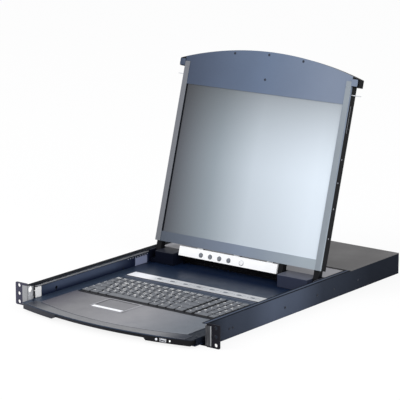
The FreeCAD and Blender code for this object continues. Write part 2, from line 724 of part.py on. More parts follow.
def rear_panel():
    half = CHASSIS_LINED
    plate = box(-half, half, CHASSIS_DEPTH - CHASSIS_SHEET, CHASSIS_DEPTH,
                CHASSIS_SHEET, CHASSIS_HEIGHT - CHASSIS_SHEET)
    return cut(plate, rear_fitting_cutouts() + inlet_screw_holes())


def power_inlet():
    """Mains inlet and switch frame in one moulding, with a screw flange outside the panel."""
    z = REAR_FITTING_HEIGHT
    half_h = INLET_HEIGHT / 2
    left = INLET_X - INLET_WIDTH / 2
    right = module_right_end()
    y_front = CHASSIS_DEPTH - INLET_DEPTH
    y_back = CHASSIS_DEPTH + INLET_FLANGE
    shell = box(left, right, y_front, CHASSIS_DEPTH, z - half_h, z + half_h)
    flange = box(left - INLET_FLANGE_MARGIN_X, right + INLET_FLANGE_MARGIN_X, CHASSIS_DEPTH, y_back,
                 z - half_h - INLET_FLANGE_MARGIN_Z, z + half_h + INLET_FLANGE_MARGIN_Z)
    mouth_start = y_front + INLET_WALL
    hollows = [inlet_mouth(mouth_start, y_back), switch_well(y_back)]
    body = cut(join([shell, flange]), hollows + inlet_screw_holes())
    return [body] + inlet_pins(mouth_start)


def inlet_mouth(y0, y1):
    """Plug-shaped hollow with its two upper corners cut off."""
    z = REAR_FITTING_HEIGHT
    half_w = INLET_WIDTH / 2 - INLET_WALL
    half_h = INLET_HEIGHT / 2 - INLET_WALL
    corners = [
        Vector(INLET_X - half_w, y0, z - half_h),
        Vector(INLET_X + half_w, y0, z - half_h),
        Vector(INLET_X + half_w, y0, z + half_h - INLET_CHAMFER),
        Vector(INLET_X + half_w - INLET_CHAMFER, y0, z + half_h),
        Vector(INLET_X - half_w + INLET_CHAMFER, y0, z + half_h),
        Vector(INLET_X - half_w, y0, z + half_h - INLET_CHAMFER),
    ]
    return prism(corners, Vector(0, y1 - y0 + OVERRUN, 0))


def inlet_pins(y0):
    pins = []
    half_w = INLET_PIN_WIDTH / 2
    half_h = INLET_PIN_HEIGHT / 2
    for step in (-1, 0, 1):
        x = INLET_X + step * INLET_PIN_SPACING
        lift = INLET_PIN_LIFT if step == 0 else -INLET_PIN_LIFT
        z = REAR_FITTING_HEIGHT + lift
        pins.append(box(x - half_w, x + half_w, y0, y0 + INLET_PIN_LENGTH, z - half_h, z + half_h))
    return pins


def switch_well(y1):
    """Hollow for the rocker, with a blind bore on each side for its pivot."""
    z = REAR_FITTING_HEIGHT
    half_w = SWITCH_WIDTH / 2 + SEAT_GAP
    half_h = SWITCH_HEIGHT / 2 + SEAT_GAP
    well = box(SWITCH_X - half_w, SWITCH_X + half_w, CHASSIS_DEPTH - SWITCH_WELL_DEPTH, y1 + OVERRUN,
               z - half_h, z + half_h)
    radius = SWITCH_PIVOT_RADIUS + SWITCH_PIVOT_CLEARANCE
    return join([well, switch_pivot(radius, SWITCH_WIDTH / 2 + SWITCH_PIVOT_REACH + SEAT_GAP)])


def switch_pivot(radius, half_length):
    y = CHASSIS_DEPTH
    z = REAR_FITTING_HEIGHT
    return rod(radius, Vector(SWITCH_X - half_length, y, z), Vector(SWITCH_X + half_length, y, z))


def power_switch():
    """Rocker that tips about a pivot across the panel."""
    z = REAR_FITTING_HEIGHT
    half_h = SWITCH_HEIGHT / 2
    face = CHASSIS_DEPTH + INLET_FLANGE + SWITCH_PROUD
    rise = math.tan(math.radians(SWITCH_ANGLE)) * half_h
    tail = CHASSIS_DEPTH - SWITCH_TAIL_DEPTH
    tail_half = half_h * SWITCH_TAIL_TAPER
    x = SWITCH_X - SWITCH_WIDTH / 2
    profile = [
        Vector(x, tail, z - tail_half),
        Vector(x, face + rise, z - half_h + SWITCH_TIP_INSET),
        Vector(x, face, z),
        Vector(x, face - rise, z + half_h - SWITCH_TIP_INSET),
        Vector(x, tail, z + tail_half),
    ]
    rocker = prism(profile, Vector(SWITCH_WIDTH, 0, 0))
    return join([rocker, switch_pivot(SWITCH_PIVOT_RADIUS, SWITCH_WIDTH / 2 + SWITCH_PIVOT_REACH)])


def console_ports():
    solids = []
    z = REAR_FITTING_HEIGHT
    for x in port_places():
        flange_half = PORT_FLANGE_HEIGHT / 2
        flange = box(x - PORT_FLANGE_WIDTH / 2, x + PORT_FLANGE_WIDTH / 2,
                     CHASSIS_DEPTH, CHASSIS_DEPTH + PORT_FLANGE_SHEET, z - flange_half, z + flange_half)
        half_w = PORT_WIDTH / 2 - SEAT_GAP
        half_h = PORT_HEIGHT / 2 - SEAT_GAP
        start_y = CHASSIS_DEPTH - PORT_BODY_DEPTH
        corners = [
            Vector(x - half_w, start_y, z + half_h),
            Vector(x + half_w, start_y, z + half_h),
            Vector(x + half_w - PORT_SLANT, start_y, z - half_h),
            Vector(x - half_w + PORT_SLANT, start_y, z - half_h),
        ]
        shell = prism(corners, Vector(0, PORT_BODY_DEPTH + PORT_REACH, 0))
        jacks = []
        for side in (-1, 1):
            jack_x = x + side * JACK_SPACING / 2
            jacks.append(flat_sided_rod(JACK_RADIUS, Vector(jack_x, CHASSIS_DEPTH, z),
                                        Vector(jack_x, CHASSIS_DEPTH + JACK_REACH, z), HEX_SIDES))
        solids.append(join([flange, shell] + jacks))
    return solids


def power_supply():
    x0 = -CHASSIS_INNER + BAY_GAP
    y1 = CHASSIS_DEPTH - CHASSIS_SHEET - INLET_DEPTH - BAY_GAP
    case = box(x0, x0 + SUPPLY_WIDTH, y1 - SUPPLY_DEPTH, y1, CHASSIS_SHEET,
               CHASSIS_HEIGHT + CHASSIS_SHEET - SUPPLY_HEADROOM)
    return round_edges(case, CASE_EDGE_RADIUS, Y_AXIS)


def standoff(x, y, z0, z1):
    return flat_sided_rod(STANDOFF_RADIUS, Vector(x, y, z0), Vector(x, y, z1), HEX_SIDES)


def switch_board():
    """Port switching circuit board on its standoffs in the rear bay."""
    x0 = -CHASSIS_INNER + BAY_GAP + SUPPLY_WIDTH + SWITCH_BOARD_GAP
    x1 = CHASSIS_INNER - BAY_GAP
    y0 = COVER_FRONT + BAY_GAP
    y1 = CHASSIS_DEPTH - CHASSIS_SHEET - SEAT_GAP
    z0 = CHASSIS_SHEET + STANDOFF_HEIGHT
    board = box(x0, x1, y0, y1, z0, z0 + BOARD_SHEET)
    feet = []
    for x in (x0 + BAY_GAP, x1 - BAY_GAP):
        for y in (y0 + BAY_GAP, y1 - BAY_GAP):
            feet.append(standoff(x, y, CHASSIS_SHEET, z0))
    chip_x = (x0 + x1) / 2.0
    chip_y = (y0 + y1) / 2.0
    half = CHIP_SIZE / 2.0
    top = z0 + BOARD_SHEET
    chip = box(chip_x - half, chip_x + half, chip_y - half, chip_y + half, top, top + CHIP_HEIGHT)
    return join([board, chip] + feet)


# Slides

def channel(web_x, opening, depth, z0, z1, y0, y1):
    """Channel section with its web at web_x and its flanges towards the opening side."""
    edge_x = web_x + opening * depth
    inner_web = web_x + opening * SLIDE_SHEET
    points = [
        Vector(web_x, y0, z0), Vector(edge_x, y0, z0),
        Vector(edge_x, y0, z0 + SLIDE_SHEET), Vector(inner_web, y0, z0 + SLIDE_SHEET),
        Vector(inner_web, y0, z1 - SLIDE_SHEET), Vector(edge_x, y0, z1 - SLIDE_SHEET),
        Vector(edge_x, y0, z1), Vector(web_x, y0, z1),
    ]
    return prism(points, Vector(0, y1 - y0, 0))


def race_lips(web_x, opening, depth, race_z, rise, y0, y1):
    """Lips along the free edges of a channel's flanges, which keep the balls on their races."""
    edge_x = web_x + opening * depth
    x0 = min(edge_x, edge_x - opening * RACE_LIP_SHEET)
    z0 = min(race_z, race_z + rise)
    upper = box(x0, x0 + RACE_LIP_SHEET, y0, y1, z0, z0 + abs(rise))
    return [upper, upper.mirror(Vector(0, 0, SLIDE_MIDDLE_Z), Z_AXIS)]


def outer_race_height():
    return SLIDE_TOP - SLIDE_SHEET - BALL_ROOM


def inner_race_height():
    return outer_race_height() - SLIDE_SHEET - BALL_ROOM


def mirrored_height(z):
    return 2.0 * SLIDE_MIDDLE_Z - z


def slide_outer_member():
    member = channel(CHASSIS_INNER, -1, SLIDE_LIP_DEPTH, SLIDE_BOTTOM, SLIDE_TOP, SLIDE_FRONT, SLIDE_BACK)
    lips = race_lips(CHASSIS_INNER, -1, SLIDE_LIP_DEPTH, SLIDE_TOP - SLIDE_SHEET, -RACE_LIP_HEIGHT,
                     SLIDE_FRONT, SLIDE_BACK)
    holes = []
    for y in SIDE_SCREW_PLACES:
        if y < SLIDE_BACK:
            holes.append(side_screw_hole(y))
    return cut(join([member] + lips), holes)


def slide_middle_member():
    top = outer_race_height()
    member = channel(MIDDLE_WEB, -1, MIDDLE_LIP_DEPTH, mirrored_height(top), top, SLIDE_FRONT, SLIDE_BACK)
    outside = race_lips(MIDDLE_WEB, -1, MIDDLE_LIP_DEPTH, top, RACE_LIP_HEIGHT, SLIDE_FRONT, SLIDE_BACK)
    inside = race_lips(MIDDLE_WEB, -1, MIDDLE_LIP_DEPTH, top - SLIDE_SHEET, -RACE_LIP_HEIGHT,
                       SLIDE_FRONT, SLIDE_BACK)
    return join([member] + outside + inside)


def slide_inner_member():
    top = inner_race_height()
    depth = SLIDE_SHEET + MIDDLE_LIP_DEPTH
    return channel(TRAY_WALL_OUTER, 1, depth, mirrored_height(top), top,
                   SLIDE_FRONT - INNER_MEMBER_LEAD, SLIDE_BACK)


def ball(centre):
    """Bearing ball drawn with eighteen flats."""
    corner_radius = BALL_RADIUS / math.cos(math.pi / SHANK_SIDES)
    bars = []
    for axis in (X_AXIS, Y_AXIS, Z_AXIS):
        reach = axis * BALL_RADIUS
        bars.append(flat_sided_rod(corner_radius, centre - reach, centre + reach, SHANK_SIDES))
    return bars[0].common(bars[1]).common(bars[2])


def ball_cage(race_top):
    """One strip of balls in its sheet retainer, under the race at the given height."""
    z = race_top - BALL_RADIUS - BALL_CLEARANCE
    y0 = SLIDE_FRONT + SLIDE_LENGTH * BALL_CAGE_PLACE
    x1 = BALL_LINE + BALL_RADIUS - BALL_CAGE_INSET
    strip = box(x1 - BALL_CAGE_WIDTH, x1, y0, y0 + BALL_CAGE_LENGTH,
                z - BALL_CAGE_SHEET / 2, z + BALL_CAGE_SHEET / 2)
    balls = []
    spacing = BALL_CAGE_LENGTH / BALLS_PER_ROW
    for index in range(BALLS_PER_ROW):
        balls.append(ball(Vector(BALL_LINE, y0 + spacing * (index + 0.5), z)))
    return join([strip] + balls)


def ball_cages(race_top):
    upper = ball_cage(race_top)
    lower = upper.mirror(Vector(0, 0, SLIDE_MIDDLE_Z), Z_AXIS)
    return [upper, lower, mirrored(upper), mirrored(lower)]


# Drawer

def drawer_tray():
    outer = TRAY_WALL_OUTER
    inner = TRAY_WALL_INNER
    floor = box(-outer, outer, TRAY_FLOOR_FRONT, TRAY_BACK, TRAY_FLOOR_BOTTOM, TRAY_FLOOR_TOP)
    wall = box(inner, outer, TRAY_WALL_FRONT, TRAY_BACK, TRAY_FLOOR_BOTTOM, TRAY_WALL_TOP)
    back = box(-outer, outer, TRAY_BACK - TRAY_FLOOR_SHEET, TRAY_BACK, TRAY_FLOOR_BOTTOM, TRAY_WALL_TOP)
    return cut(join([floor, wall, mirrored(wall), back]), tray_vents())


def tray_vents():
    """Rows of small square holes near the top of the tray walls, in front of the hinge boxes."""
    z1 = TRAY_WALL_TOP - TRAY_VENT_DROP
    holes = []
    for index in range(TRAY_VENTS):
        y1 = HINGE_BOX_FRONT - TRAY_VENT_SETBACK - index * TRAY_VENT_PITCH
        hole = box(TRAY_WALL_INNER - OVERRUN, TRAY_WALL_OUTER + OVERRUN, y1 - TRAY_VENT_SIZE, y1,
                   z1 - TRAY_VENT_SIZE, z1)
        holes = holes + [hole, mirrored(hole)]
    return holes


def keyboard_deck():
    sheet = arched_plate(DECK_HALF_WIDTH, DECK_BACK, ARCH_FRONT, DECK_UNDERSIDE, DECK_TOP)
    side = box(DECK_HALF_WIDTH - DECK_SHEET, DECK_HALF_WIDTH, GRIP_BACK, DECK_BACK,
               TRAY_FLOOR_TOP, DECK_UNDERSIDE)
    below = DECK_UNDERSIDE - OVERRUN
    above = DECK_TOP + OVERRUN
    well = box(-WELL_HALF_WIDTH, WELL_HALF_WIDTH, WELL_FRONT, WELL_BACK, below, above)
    margin = PAD_OPENING_MARGIN
    pad = box(PAD_LEFT - margin, PAD_RIGHT + margin, pad_button_front() - margin, PAD_BACK + margin,
              below, above)
    tools = [well, pad]
    for x in port_button_places():
        tools.append(port_button_opening(x, below, above))
    return cut(join([sheet, side, mirrored(side)]), tools)


def pad_button_front():
    return PAD_FRONT - PAD_BUTTON_GAP - PAD_BUTTON_DEPTH


def palm_plate(margin, z0, z1):
    """Palm rest seen in plan, grown by a margin, with a front edge that follows the lip."""
    crown = PALM_CORNER_Y - PALM_RISE - margin
    return arched_plate(PALM_HALF_WIDTH + margin, PALM_BACK, crown, z0, z1, PALM_RISE)


def palm_rest():
    z1 = PALM_TOP
    plate = palm_plate(0.0, DECK_TOP, z1)
    margin = PAD_SURROUND_MARGIN
    front = pad_button_front() - margin
    taper = PAD_SURROUND_TAPER
    surround = prism([
        Vector(PAD_LEFT - margin + taper, front, z1),
        Vector(PAD_RIGHT + margin - taper, front, z1),
        Vector(PAD_RIGHT + margin, PAD_BACK + margin / 2, z1),
        Vector(PAD_LEFT - margin, PAD_BACK + margin / 2, z1),
    ], Vector(0, 0, PAD_SURROUND_HEIGHT))
    bottom = DECK_TOP - OVERRUN
    top = PAD_SURROUND_TOP + OVERRUN
    pad = box(PAD_LEFT, PAD_RIGHT, PAD_FRONT, PAD_BACK, bottom, top)
    buttons = box(PAD_LEFT, PAD_RIGHT, pad_button_front(), PAD_FRONT - PAD_BUTTON_GAP, bottom, top)
    return cut(join([plate, surround]), [pad, buttons])


def front_trim():
    z1 = DECK_TOP + TRIM_THICKNESS
    back = PALM_CORNER_Y - GROOVE_WIDTH
    band = arched_plate(TRIM_HALF_WIDTH, back, ARCH_FRONT + TRIM_SETBACK, DECK_TOP, z1)
    return band.cut(palm_plate(GROOVE_WIDTH, DECK_TOP - OVERRUN, z1 + OVERRUN))


def front_grip():
    """Curved lip under the front edge, with a finger recess and the front sockets."""
    body = arched_plate(GRIP_HALF_WIDTH, GRIP_BACK, ARCH_FRONT, TRAY_FLOOR_TOP, DECK_UNDERSIDE)
    bottom = TRAY_FLOOR_TOP - OVERRUN
    top = DECK_UNDERSIDE + OVERRUN
    front = ARCH_FRONT - OVERRUN
    wide = RECESS_HALF_WIDTH + RECESS_END_SLANT
    recess_block = prism([
        Vector(-wide, front, bottom),
        Vector(wide, front, bottom),
        Vector(RECESS_HALF_WIDTH, front, top),
        Vector(-RECESS_HALF_WIDTH, front, top),
    ], Vector(0, GRIP_BACK + OVERRUN - front, 0))
    behind_recess = arched_plate(GRIP_HALF_WIDTH, GRIP_BACK + 2 * OVERRUN, ARCH_FRONT + RECESS_DEPTH,
                                 RECESS_BOTTOM, top)
    recess = recess_block.cut(behind_recess)
    hollow = arched_plate(GRIP_HALF_WIDTH - GRIP_WALL, GRIP_BACK + OVERRUN, ARCH_FRONT + GRIP_WALL,
                          TRAY_FLOOR_TOP + GRIP_FLOOR, top)
    guard_half = wide + GRIP_WALL
    middle_guard = box(-guard_half, guard_half, front, GRIP_BACK + 2 * OVERRUN, bottom, top + OVERRUN)
    side_hollow = hollow.cut(middle_guard)
    middle_crown = ARCH_FRONT + RECESS_DEPTH + GRIP_WALL
    middle_hollow = arched_plate(RECESS_HALF_WIDTH, GRIP_BACK + OVERRUN, middle_crown,
                                 RECESS_BOTTOM + GRIP_FLOOR, top)
    tools = [recess, side_hollow, middle_hollow, usb_block(0.0), reset_bore(), light_bore()]
    return cut(body, tools)


def usb_block(shrink):
    x0 = USB_X - USB_WIDTH / 2 + shrink
    x1 = USB_X + USB_WIDTH / 2 - shrink
    y0 = front_arch_y(USB_X - USB_WIDTH / 2)
    z0 = SOCKET_HEIGHT - USB_HEIGHT / 2 + shrink
    z1 = SOCKET_HEIGHT + USB_HEIGHT / 2 - shrink
    return box(x0, x1, y0, y0 + USB_DEPTH, z0, z1)


def usb_port():
    shell = usb_block(0.0)
    mouth = usb_block(USB_WALL)
    mouth.translate(Vector(0, -USB_WALL, 0))
    tongue_top = SOCKET_HEIGHT + USB_HEIGHT / 2 - USB_WALL - USB_TONGUE_DROP
    y0 = front_arch_y(USB_X - USB_WIDTH / 2)
    half = USB_WIDTH / 2 - USB_TONGUE_INSET
    tongue = box(USB_X - half, USB_X + half, y0 + USB_TONGUE_SETBACK, y0 + USB_DEPTH - USB_WALL / 2,
                 tongue_top - USB_TONGUE_THICKNESS, tongue_top)
    return join([cut(shell, [mouth]), tongue])


def reset_bore():
    start = Vector(RESET_X, ARCH_FRONT - OVERRUN, SOCKET_HEIGHT)
    return rod(RESET_RADIUS + SEAT_GAP, start, Vector(RESET_X, GRIP_BACK, SOCKET_HEIGHT))


def reset_button():
    face = front_arch_y(RESET_X) - BUTTON_PROUD
    end = Vector(RESET_X, face + SOCKET_SHAFT_LENGTH, SOCKET_HEIGHT)
    shaft = rod(RESET_RADIUS, Vector(RESET_X, face, SOCKET_HEIGHT), end)
    rim = [edge for edge in shaft.Edges if abs(edge.CenterOfMass.y - face) < SMALL]
    return shaft.makeChamfer(BUTTON_EDGE, rim)


def light_bore():
    start = Vector(LIGHT_X, ARCH_FRONT - OVERRUN, SOCKET_HEIGHT)
    return rod(LIGHT_RADIUS, start, Vector(LIGHT_X, GRIP_BACK, SOCKET_HEIGHT))


def status_light():
    face = front_arch_y(LIGHT_X) - LIGHT_PROUD
    end = Vector(LIGHT_X, face + SOCKET_SHAFT_LENGTH, SOCKET_HEIGHT)
    return rod(LIGHT_RADIUS, Vector(LIGHT_X, face, SOCKET_HEIGHT), end)


def touchpad():
    z1 = PAD_SURROUND_TOP - PAD_SINK
    return box(PAD_LEFT, PAD_RIGHT, PAD_FRONT, PAD_BACK, z1 - PAD_THICKNESS, z1)


def pad_button(x0, x1):
    z1 = PAD_SURROUND_TOP + PAD_BUTTON_TRAVEL / 2
    y0 = pad_button_front() + BUTTON_CLEARANCE
    y1 = PAD_FRONT - PAD_BUTTON_GAP - BUTTON_CLEARANCE
    cap = box(x0 + BUTTON_CLEARANCE, x1 - BUTTON_CLEARANCE, y0, y1, z1 - PAD_THICKNESS, z1)
    return round_edges(cap, BUTTON_EDGE, X_AXIS)


def port_button_places():
    return [PORT_BUTTON_FIRST + index * PORT_BUTTON_PITCH for index in range(PORT_BUTTONS)]


def port_button_opening(x, z0, z1):
    y = (STRIP_FRONT + STRIP_BACK) / 2.0
    half_x = PORT_BUTTON_LENGTH / 2 + SEAT_GAP
    half_y = PORT_BUTTON_DEPTH / 2 + SEAT_GAP
    return box(x - half_x, x + half_x, y - half_y, y + half_y, z0, z1)


def port_strip():
    z1 = DECK_TOP + STRIP_THICKNESS
    plate = box(STRIP_LEFT, STRIP_RIGHT, STRIP_FRONT, STRIP_BACK, DECK_TOP, z1)
    openings = []
    for x in port_button_places():
        openings.append(port_button_opening(x, DECK_TOP - OVERRUN, z1 + OVERRUN))
    return cut(plate, openings)


def port_buttons():
    solids = []
    y = (STRIP_FRONT + STRIP_BACK) / 2.0
    z1 = DECK_TOP + STRIP_THICKNESS + PORT_BUTTON_PROUD
    for x in port_button_places():
        solids.append(box(x - PORT_BUTTON_LENGTH / 2, x + PORT_BUTTON_LENGTH / 2,
                          y - PORT_BUTTON_DEPTH / 2, y + PORT_BUTTON_DEPTH / 2, DECK_UNDERSIDE, z1))
    return solids


# Keyboard, with its rows counted from the front

def row_plan():
    """Name, front edge, depth, main block widths and number pad widths of each row."""
    main_rows = [
        ("bottom_keys", BOTTOM_ROW_UNITS, BOTTOM_PAD_UNITS),
        ("lower_letter_keys", LOWER_ROW_UNITS, PLAIN_PAD_UNITS),
        ("home_letter_keys", HOME_ROW_UNITS, PLAIN_PAD_UNITS),
        ("upper_letter_keys", UPPER_ROW_UNITS, PLAIN_PAD_UNITS),
        ("number_keys", NUMBER_ROW_UNITS, PLAIN_PAD_UNITS),
        ("function_keys", FUNCTION_ROW_UNITS, PLAIN_PAD_UNITS),
    ]
    plan = []
    y = KEY_FRONT
    for name, main, pad in main_rows:
        depth = FUNCTION_PITCH_Y if name == "function_keys" else KEY_PITCH_Y
        plan.append((name, y, depth, main, pad))
        y = y + depth
    return plan


def key_cap(x0, width, y0, depth):
    half_gap = KEY_GAP / 2.0
    left = x0 + half_gap
    right = x0 + width - half_gap
    front = y0 + half_gap
    back = y0 + depth - half_gap
    cap = tapered_block(left, right, front, back, KEY_SKIRT, KEY_TOP, KEY_TAPER)
    centre_x = (left + right) / 2.0
    centre_y = (front + back) / 2.0
    half = STEM_WIDTH / 2.0
    stem = box(centre_x - half, centre_x + half, centre_y - half, centre_y + half,
               KEY_SKIRT - STEM_LENGTH, KEY_SKIRT)
    return cap.fuse(stem)


def row_keys(y0, depth, main, pad):
    """All key caps of one row as (width in units, solid) pairs."""
    keys = []
    x = -KEYBOARD_WIDTH / 2.0
    for block in (main, MIDDLE_COLUMN_UNITS, pad):
        for units in block:
            width = units * KEY_PITCH_X
            keys.append((units, key_cap(x, width, y0, depth)))
            x = x + width
        x = x + KEY_BLOCK_GAP
    return keys


def keyboard_board():
    """Key circuit board with one slot under each row for the key stems."""
    z0 = BOARD_TOP - BOARD_SHEET
    half = WELL_HALF_WIDTH - BOARD_EDGE_GAP
    front = WELL_FRONT + BOARD_EDGE_GAP
    back = WELL_BACK - BOARD_EDGE_GAP
    board = box(-half, half, front, back, z0, BOARD_TOP)
    slots = []
    half_slot = STEM_WIDTH / 2.0 + SEAT_GAP
    slot_end = half - BOARD_SLOT_MARGIN
    for name, y0, depth, main, pad in row_plan():
        centre = y0 + depth / 2.0
        slots.append(box(-slot_end, slot_end, centre - half_slot, centre + half_slot,
                         z0 - OVERRUN, BOARD_TOP + OVERRUN))
    feet = []
    for x in (-half + BOARD_FOOT_INSET, 0.0, half - BOARD_FOOT_INSET):
        for y in (front + BOARD_FOOT_INSET, back - BOARD_FOOT_INSET):
            feet.append(standoff(x, y, TRAY_FLOOR_TOP, z0))
    return join([cut(board, slots)] + feet)


def save_keys():
    for name, y0, depth, main, pad in row_plan():
        keys = row_keys(y0, depth, main, pad)
        save(name, [solid for units, solid in keys if units != SPACE_BAR_UNITS])
        for units, solid in keys:
            if units == SPACE_BAR_UNITS:
                save("space_bar", [solid])


# Hinge housings and rear deck

def hinge_bore(x0, x1):
    radius = HINGE_PIN_RADIUS + HINGE_BORE_CLEARANCE
    return rod(radius, Vector(x0, HINGE_Y, HINGE_Z), Vector(x1, HINGE_Y, HINGE_Z))


def arm_slot(x0, x1):
    return box(x0 - ARM_SIDE_GAP, x1 + ARM_SIDE_GAP, HINGE_BOX_FRONT - OVERRUN, HINGE_Y + SLOT_BACK_REACH,
               HINGE_Z - SLOT_FLOOR_DROP, HINGE_BOX_TOP + OVERRUN)


def hinge_box(x0, x1):
    block = box(x0, x1, HINGE_BOX_FRONT, DECK_BACK, DECK_TOP, HINGE_BOX_TOP)
    return round_edges(block, HINGE_BOX_EDGE_RADIUS, X_AXIS)


def left_hinge_box():
    outer = -DECK_HALF_WIDTH
    bore = hinge_bore(outer + HINGE_END_WALL, -OUTER_ARM_INNER + PIN_REACH + PIN_END_GAP)
    return cut(hinge_box(outer, LEFT_BOX_INNER), [arm_slot(-OUTER_ARM_OUTER, -OUTER_ARM_INNER), bore])


def right_hinge_box():
    outer = DECK_HALF_WIDTH
    outer_bore = hinge_bore(OUTER_ARM_INNER - PIN_REACH - PIN_END_GAP, outer - HINGE_END_WALL)
    inner_bore = hinge_bore(RIGHT_BOX_INNER - OVERRUN, INNER_ARM_RIGHT + PIN_REACH + PIN_END_GAP)
    return cut(hinge_box(RIGHT_BOX_INNER, outer),
               [arm_slot(OUTER_ARM_INNER, OUTER_ARM_OUTER), outer_bore, inner_bore])


def rear_deck():
    sheet = REAR_DECK_SHEET
    outer = box(-DECK_HALF_WIDTH, DECK_HALF_WIDTH, REAR_DECK_FRONT, REAR_DECK_BACK,
                TRAY_FLOOR_TOP, REAR_DECK_TOP)
    outer = round_edges(outer, CASE_EDGE_RADIUS, X_AXIS)
    inner = box(-DECK_HALF_WIDTH + sheet, DECK_HALF_WIDTH - sheet, REAR_DECK_FRONT + sheet,
                REAR_DECK_BACK - sheet, TRAY_FLOOR_TOP - OVERRUN, REAR_DECK_TOP - sheet)
    return cut(outer, [inner])


def control_board():
    """Keyboard and display controller on four standoffs under the rear deck."""
    z0 = TRAY_FLOOR_TOP + STANDOFF_HEIGHT
    margin = CONTROL_BOARD_MARGIN
    x1 = CONTROL_BOARD_HALF_WIDTH
    y0 = REAR_DECK_FRONT + margin
    y1 = REAR_DECK_BACK - margin
    board = box(-x1, x1, y0, y1, z0, z0 + BOARD_SHEET)
    feet = []
    for x in (-x1 + margin, x1 - margin):
        for y in (y0 + margin, y1 - margin):
            feet.append(standoff(x, y, TRAY_FLOOR_TOP, z0))
    return join([board] + feet)


def deck_screws():
    solids = []
    for y in DECK_SCREW_PLACES:
        place = Vector(DECK_SCREW_X, y, DECK_TOP)
        head = flat_sided_rod(SMALL_SCREW_RADIUS, place, place + Z_AXIS * SMALL_SCREW_HEAD, HEAD_SIDES)
        solids.append(head)
        solids.append(mirrored(head))
    face = TRAY_WALL_INNER
    for y in TRAY_SCREW_PLACES:
        start = Vector(face - TRAY_SCREW_HEAD, y, TRAY_SCREW_Z)
        head = flat_sided_rod(TRAY_SCREW_RADIUS, start, Vector(face, y, TRAY_SCREW_Z), HEAD_SIDES)
        solids.append(head)
        solids.append(mirrored(head))
    return solids


# Display

def display_slab(inset, w0, w1):
    half = DISPLAY_HALF_WIDTH - inset
    return arched_plate(half, inset, DISPLAY_CROWN - inset, w0, w1)


def screen_opening():
    half = SCREEN_HALF_WIDTH
    return box(-half, half, SCREEN_BOTTOM, SCREEN_TOP, FRAME_BACK - OVERRUN, OVERRUN)


def catch_left_u():
    return WING_OUTER - CATCH_OUTER_MARGIN - CATCH_SIZE_U


def catch_pocket():
    u0 = catch_left_u() - BUTTON_CLEARANCE
    v0 = WING_BOTTOM + CATCH_BOTTOM_MARGIN - BUTTON_CLEARANCE
    v1 = v0 + CATCH_SIZE_V + 2.0 * BUTTON_CLEARANCE
    return box(u0, WING_OUTER + OVERRUN, v0, v1, WING_FACE, OVERRUN)


def lcd_front_frame():
    skin = display_slab(0.0, FRAME_BACK, 0.0)
    hollow = display_slab(FRAME_WALL, FRAME_BACK - OVERRUN, -FRAME_SKIN)
    pocket = catch_pocket()
    tools = [hollow, screen_opening(), pocket, mirrored(pocket)]
    return cut(skin, tools)


def side_strip():
    outer = DISPLAY_HALF_WIDTH
    return box(outer - STRIP_WIDTH_SIDE, outer, 0, STRIP_TOP_SIDE, 0, STRIP_RAISE)


def lcd_rear_cover():
    shell = display_slab(0.0, DISPLAY_BACK, FRAME_BACK)
    hollow = display_slab(BACK_SHEET, DISPLAY_BACK + BACK_SHEET, FRAME_BACK + OVERRUN)
    tools = [hollow, wire_passage(), mirrored(wire_passage())]
    for row in range(VENT_ROWS):
        for index in range(VENTS_PER_ROW):
            u = (index - (VENTS_PER_ROW - 1) / 2.0) * VENT_PITCH
            tools.append(vent_slot(u, VENT_FIRST_ROW + row * VENT_ROW_PITCH))
    return cut(shell, tools)


def vent_slot(u, v):
    half_w = VENT_WIDTH / 2.0
    w0 = DISPLAY_BACK - OVERRUN
    return box(u - half_w, u + half_w, v, v + VENT_LENGTH, w0, DISPLAY_BACK + BACK_SHEET + OVERRUN)


def wire_passage():
    half_span = WIRE_SPAN / 2.0 + WIRE_RADIUS + SEAT_GAP
    half_v = WIRE_RADIUS + SEAT_GAP
    return box(DISPLAY_HALF_WIDTH - BACK_SHEET - OVERRUN, DISPLAY_HALF_WIDTH + OVERRUN,
               WIRE_V - half_v, WIRE_V + half_v, WIRE_W - half_span, WIRE_W + half_span)


def lcd_glass():
    half = SCREEN_HALF_WIDTH + GLASS_MARGIN
    return box(-half, half, SCREEN_BOTTOM - GLASS_MARGIN, SCREEN_TOP + GLASS_MARGIN,
               -FRAME_SKIN - GLASS_THICKNESS, -FRAME_SKIN)


def lcd_module():
    """Open-fronted metal tray of the panel and its backlight."""
    front = -FRAME_SKIN - GLASS_THICKNESS
    back = front - MODULE_DEPTH
    half = MODULE_HALF_WIDTH
    sheet = MODULE_SHEET
    outer = box(-half, half, MODULE_BOTTOM, MODULE_TOP, back, front)
    half_view = SCREEN_HALF_WIDTH
    inner = box(-half_view, half_view, SCREEN_BOTTOM, SCREEN_TOP, back + sheet, front + OVERRUN)
    return cut(outer, [inner])


def handle_screws():
    solids = []
    places = []
    for step in (-1, 0, 1):
        u = step * HANDLE_SCREW_SPACING
        places.append(Vector(u, DISPLAY_CROWN - arch_drop(u) - HANDLE_SCREW_INSET, 0))
    places.append(Vector(0, DISPLAY_CROWN - LOWER_HANDLE_SCREW_DROP, 0))
    for place in places:
        top = place + Z_AXIS * SMALL_SCREW_HEAD / 2.0
        solids.append(flat_sided_rod(SMALL_SCREW_RADIUS, place, top, HEAD_SIDES))
    return solids


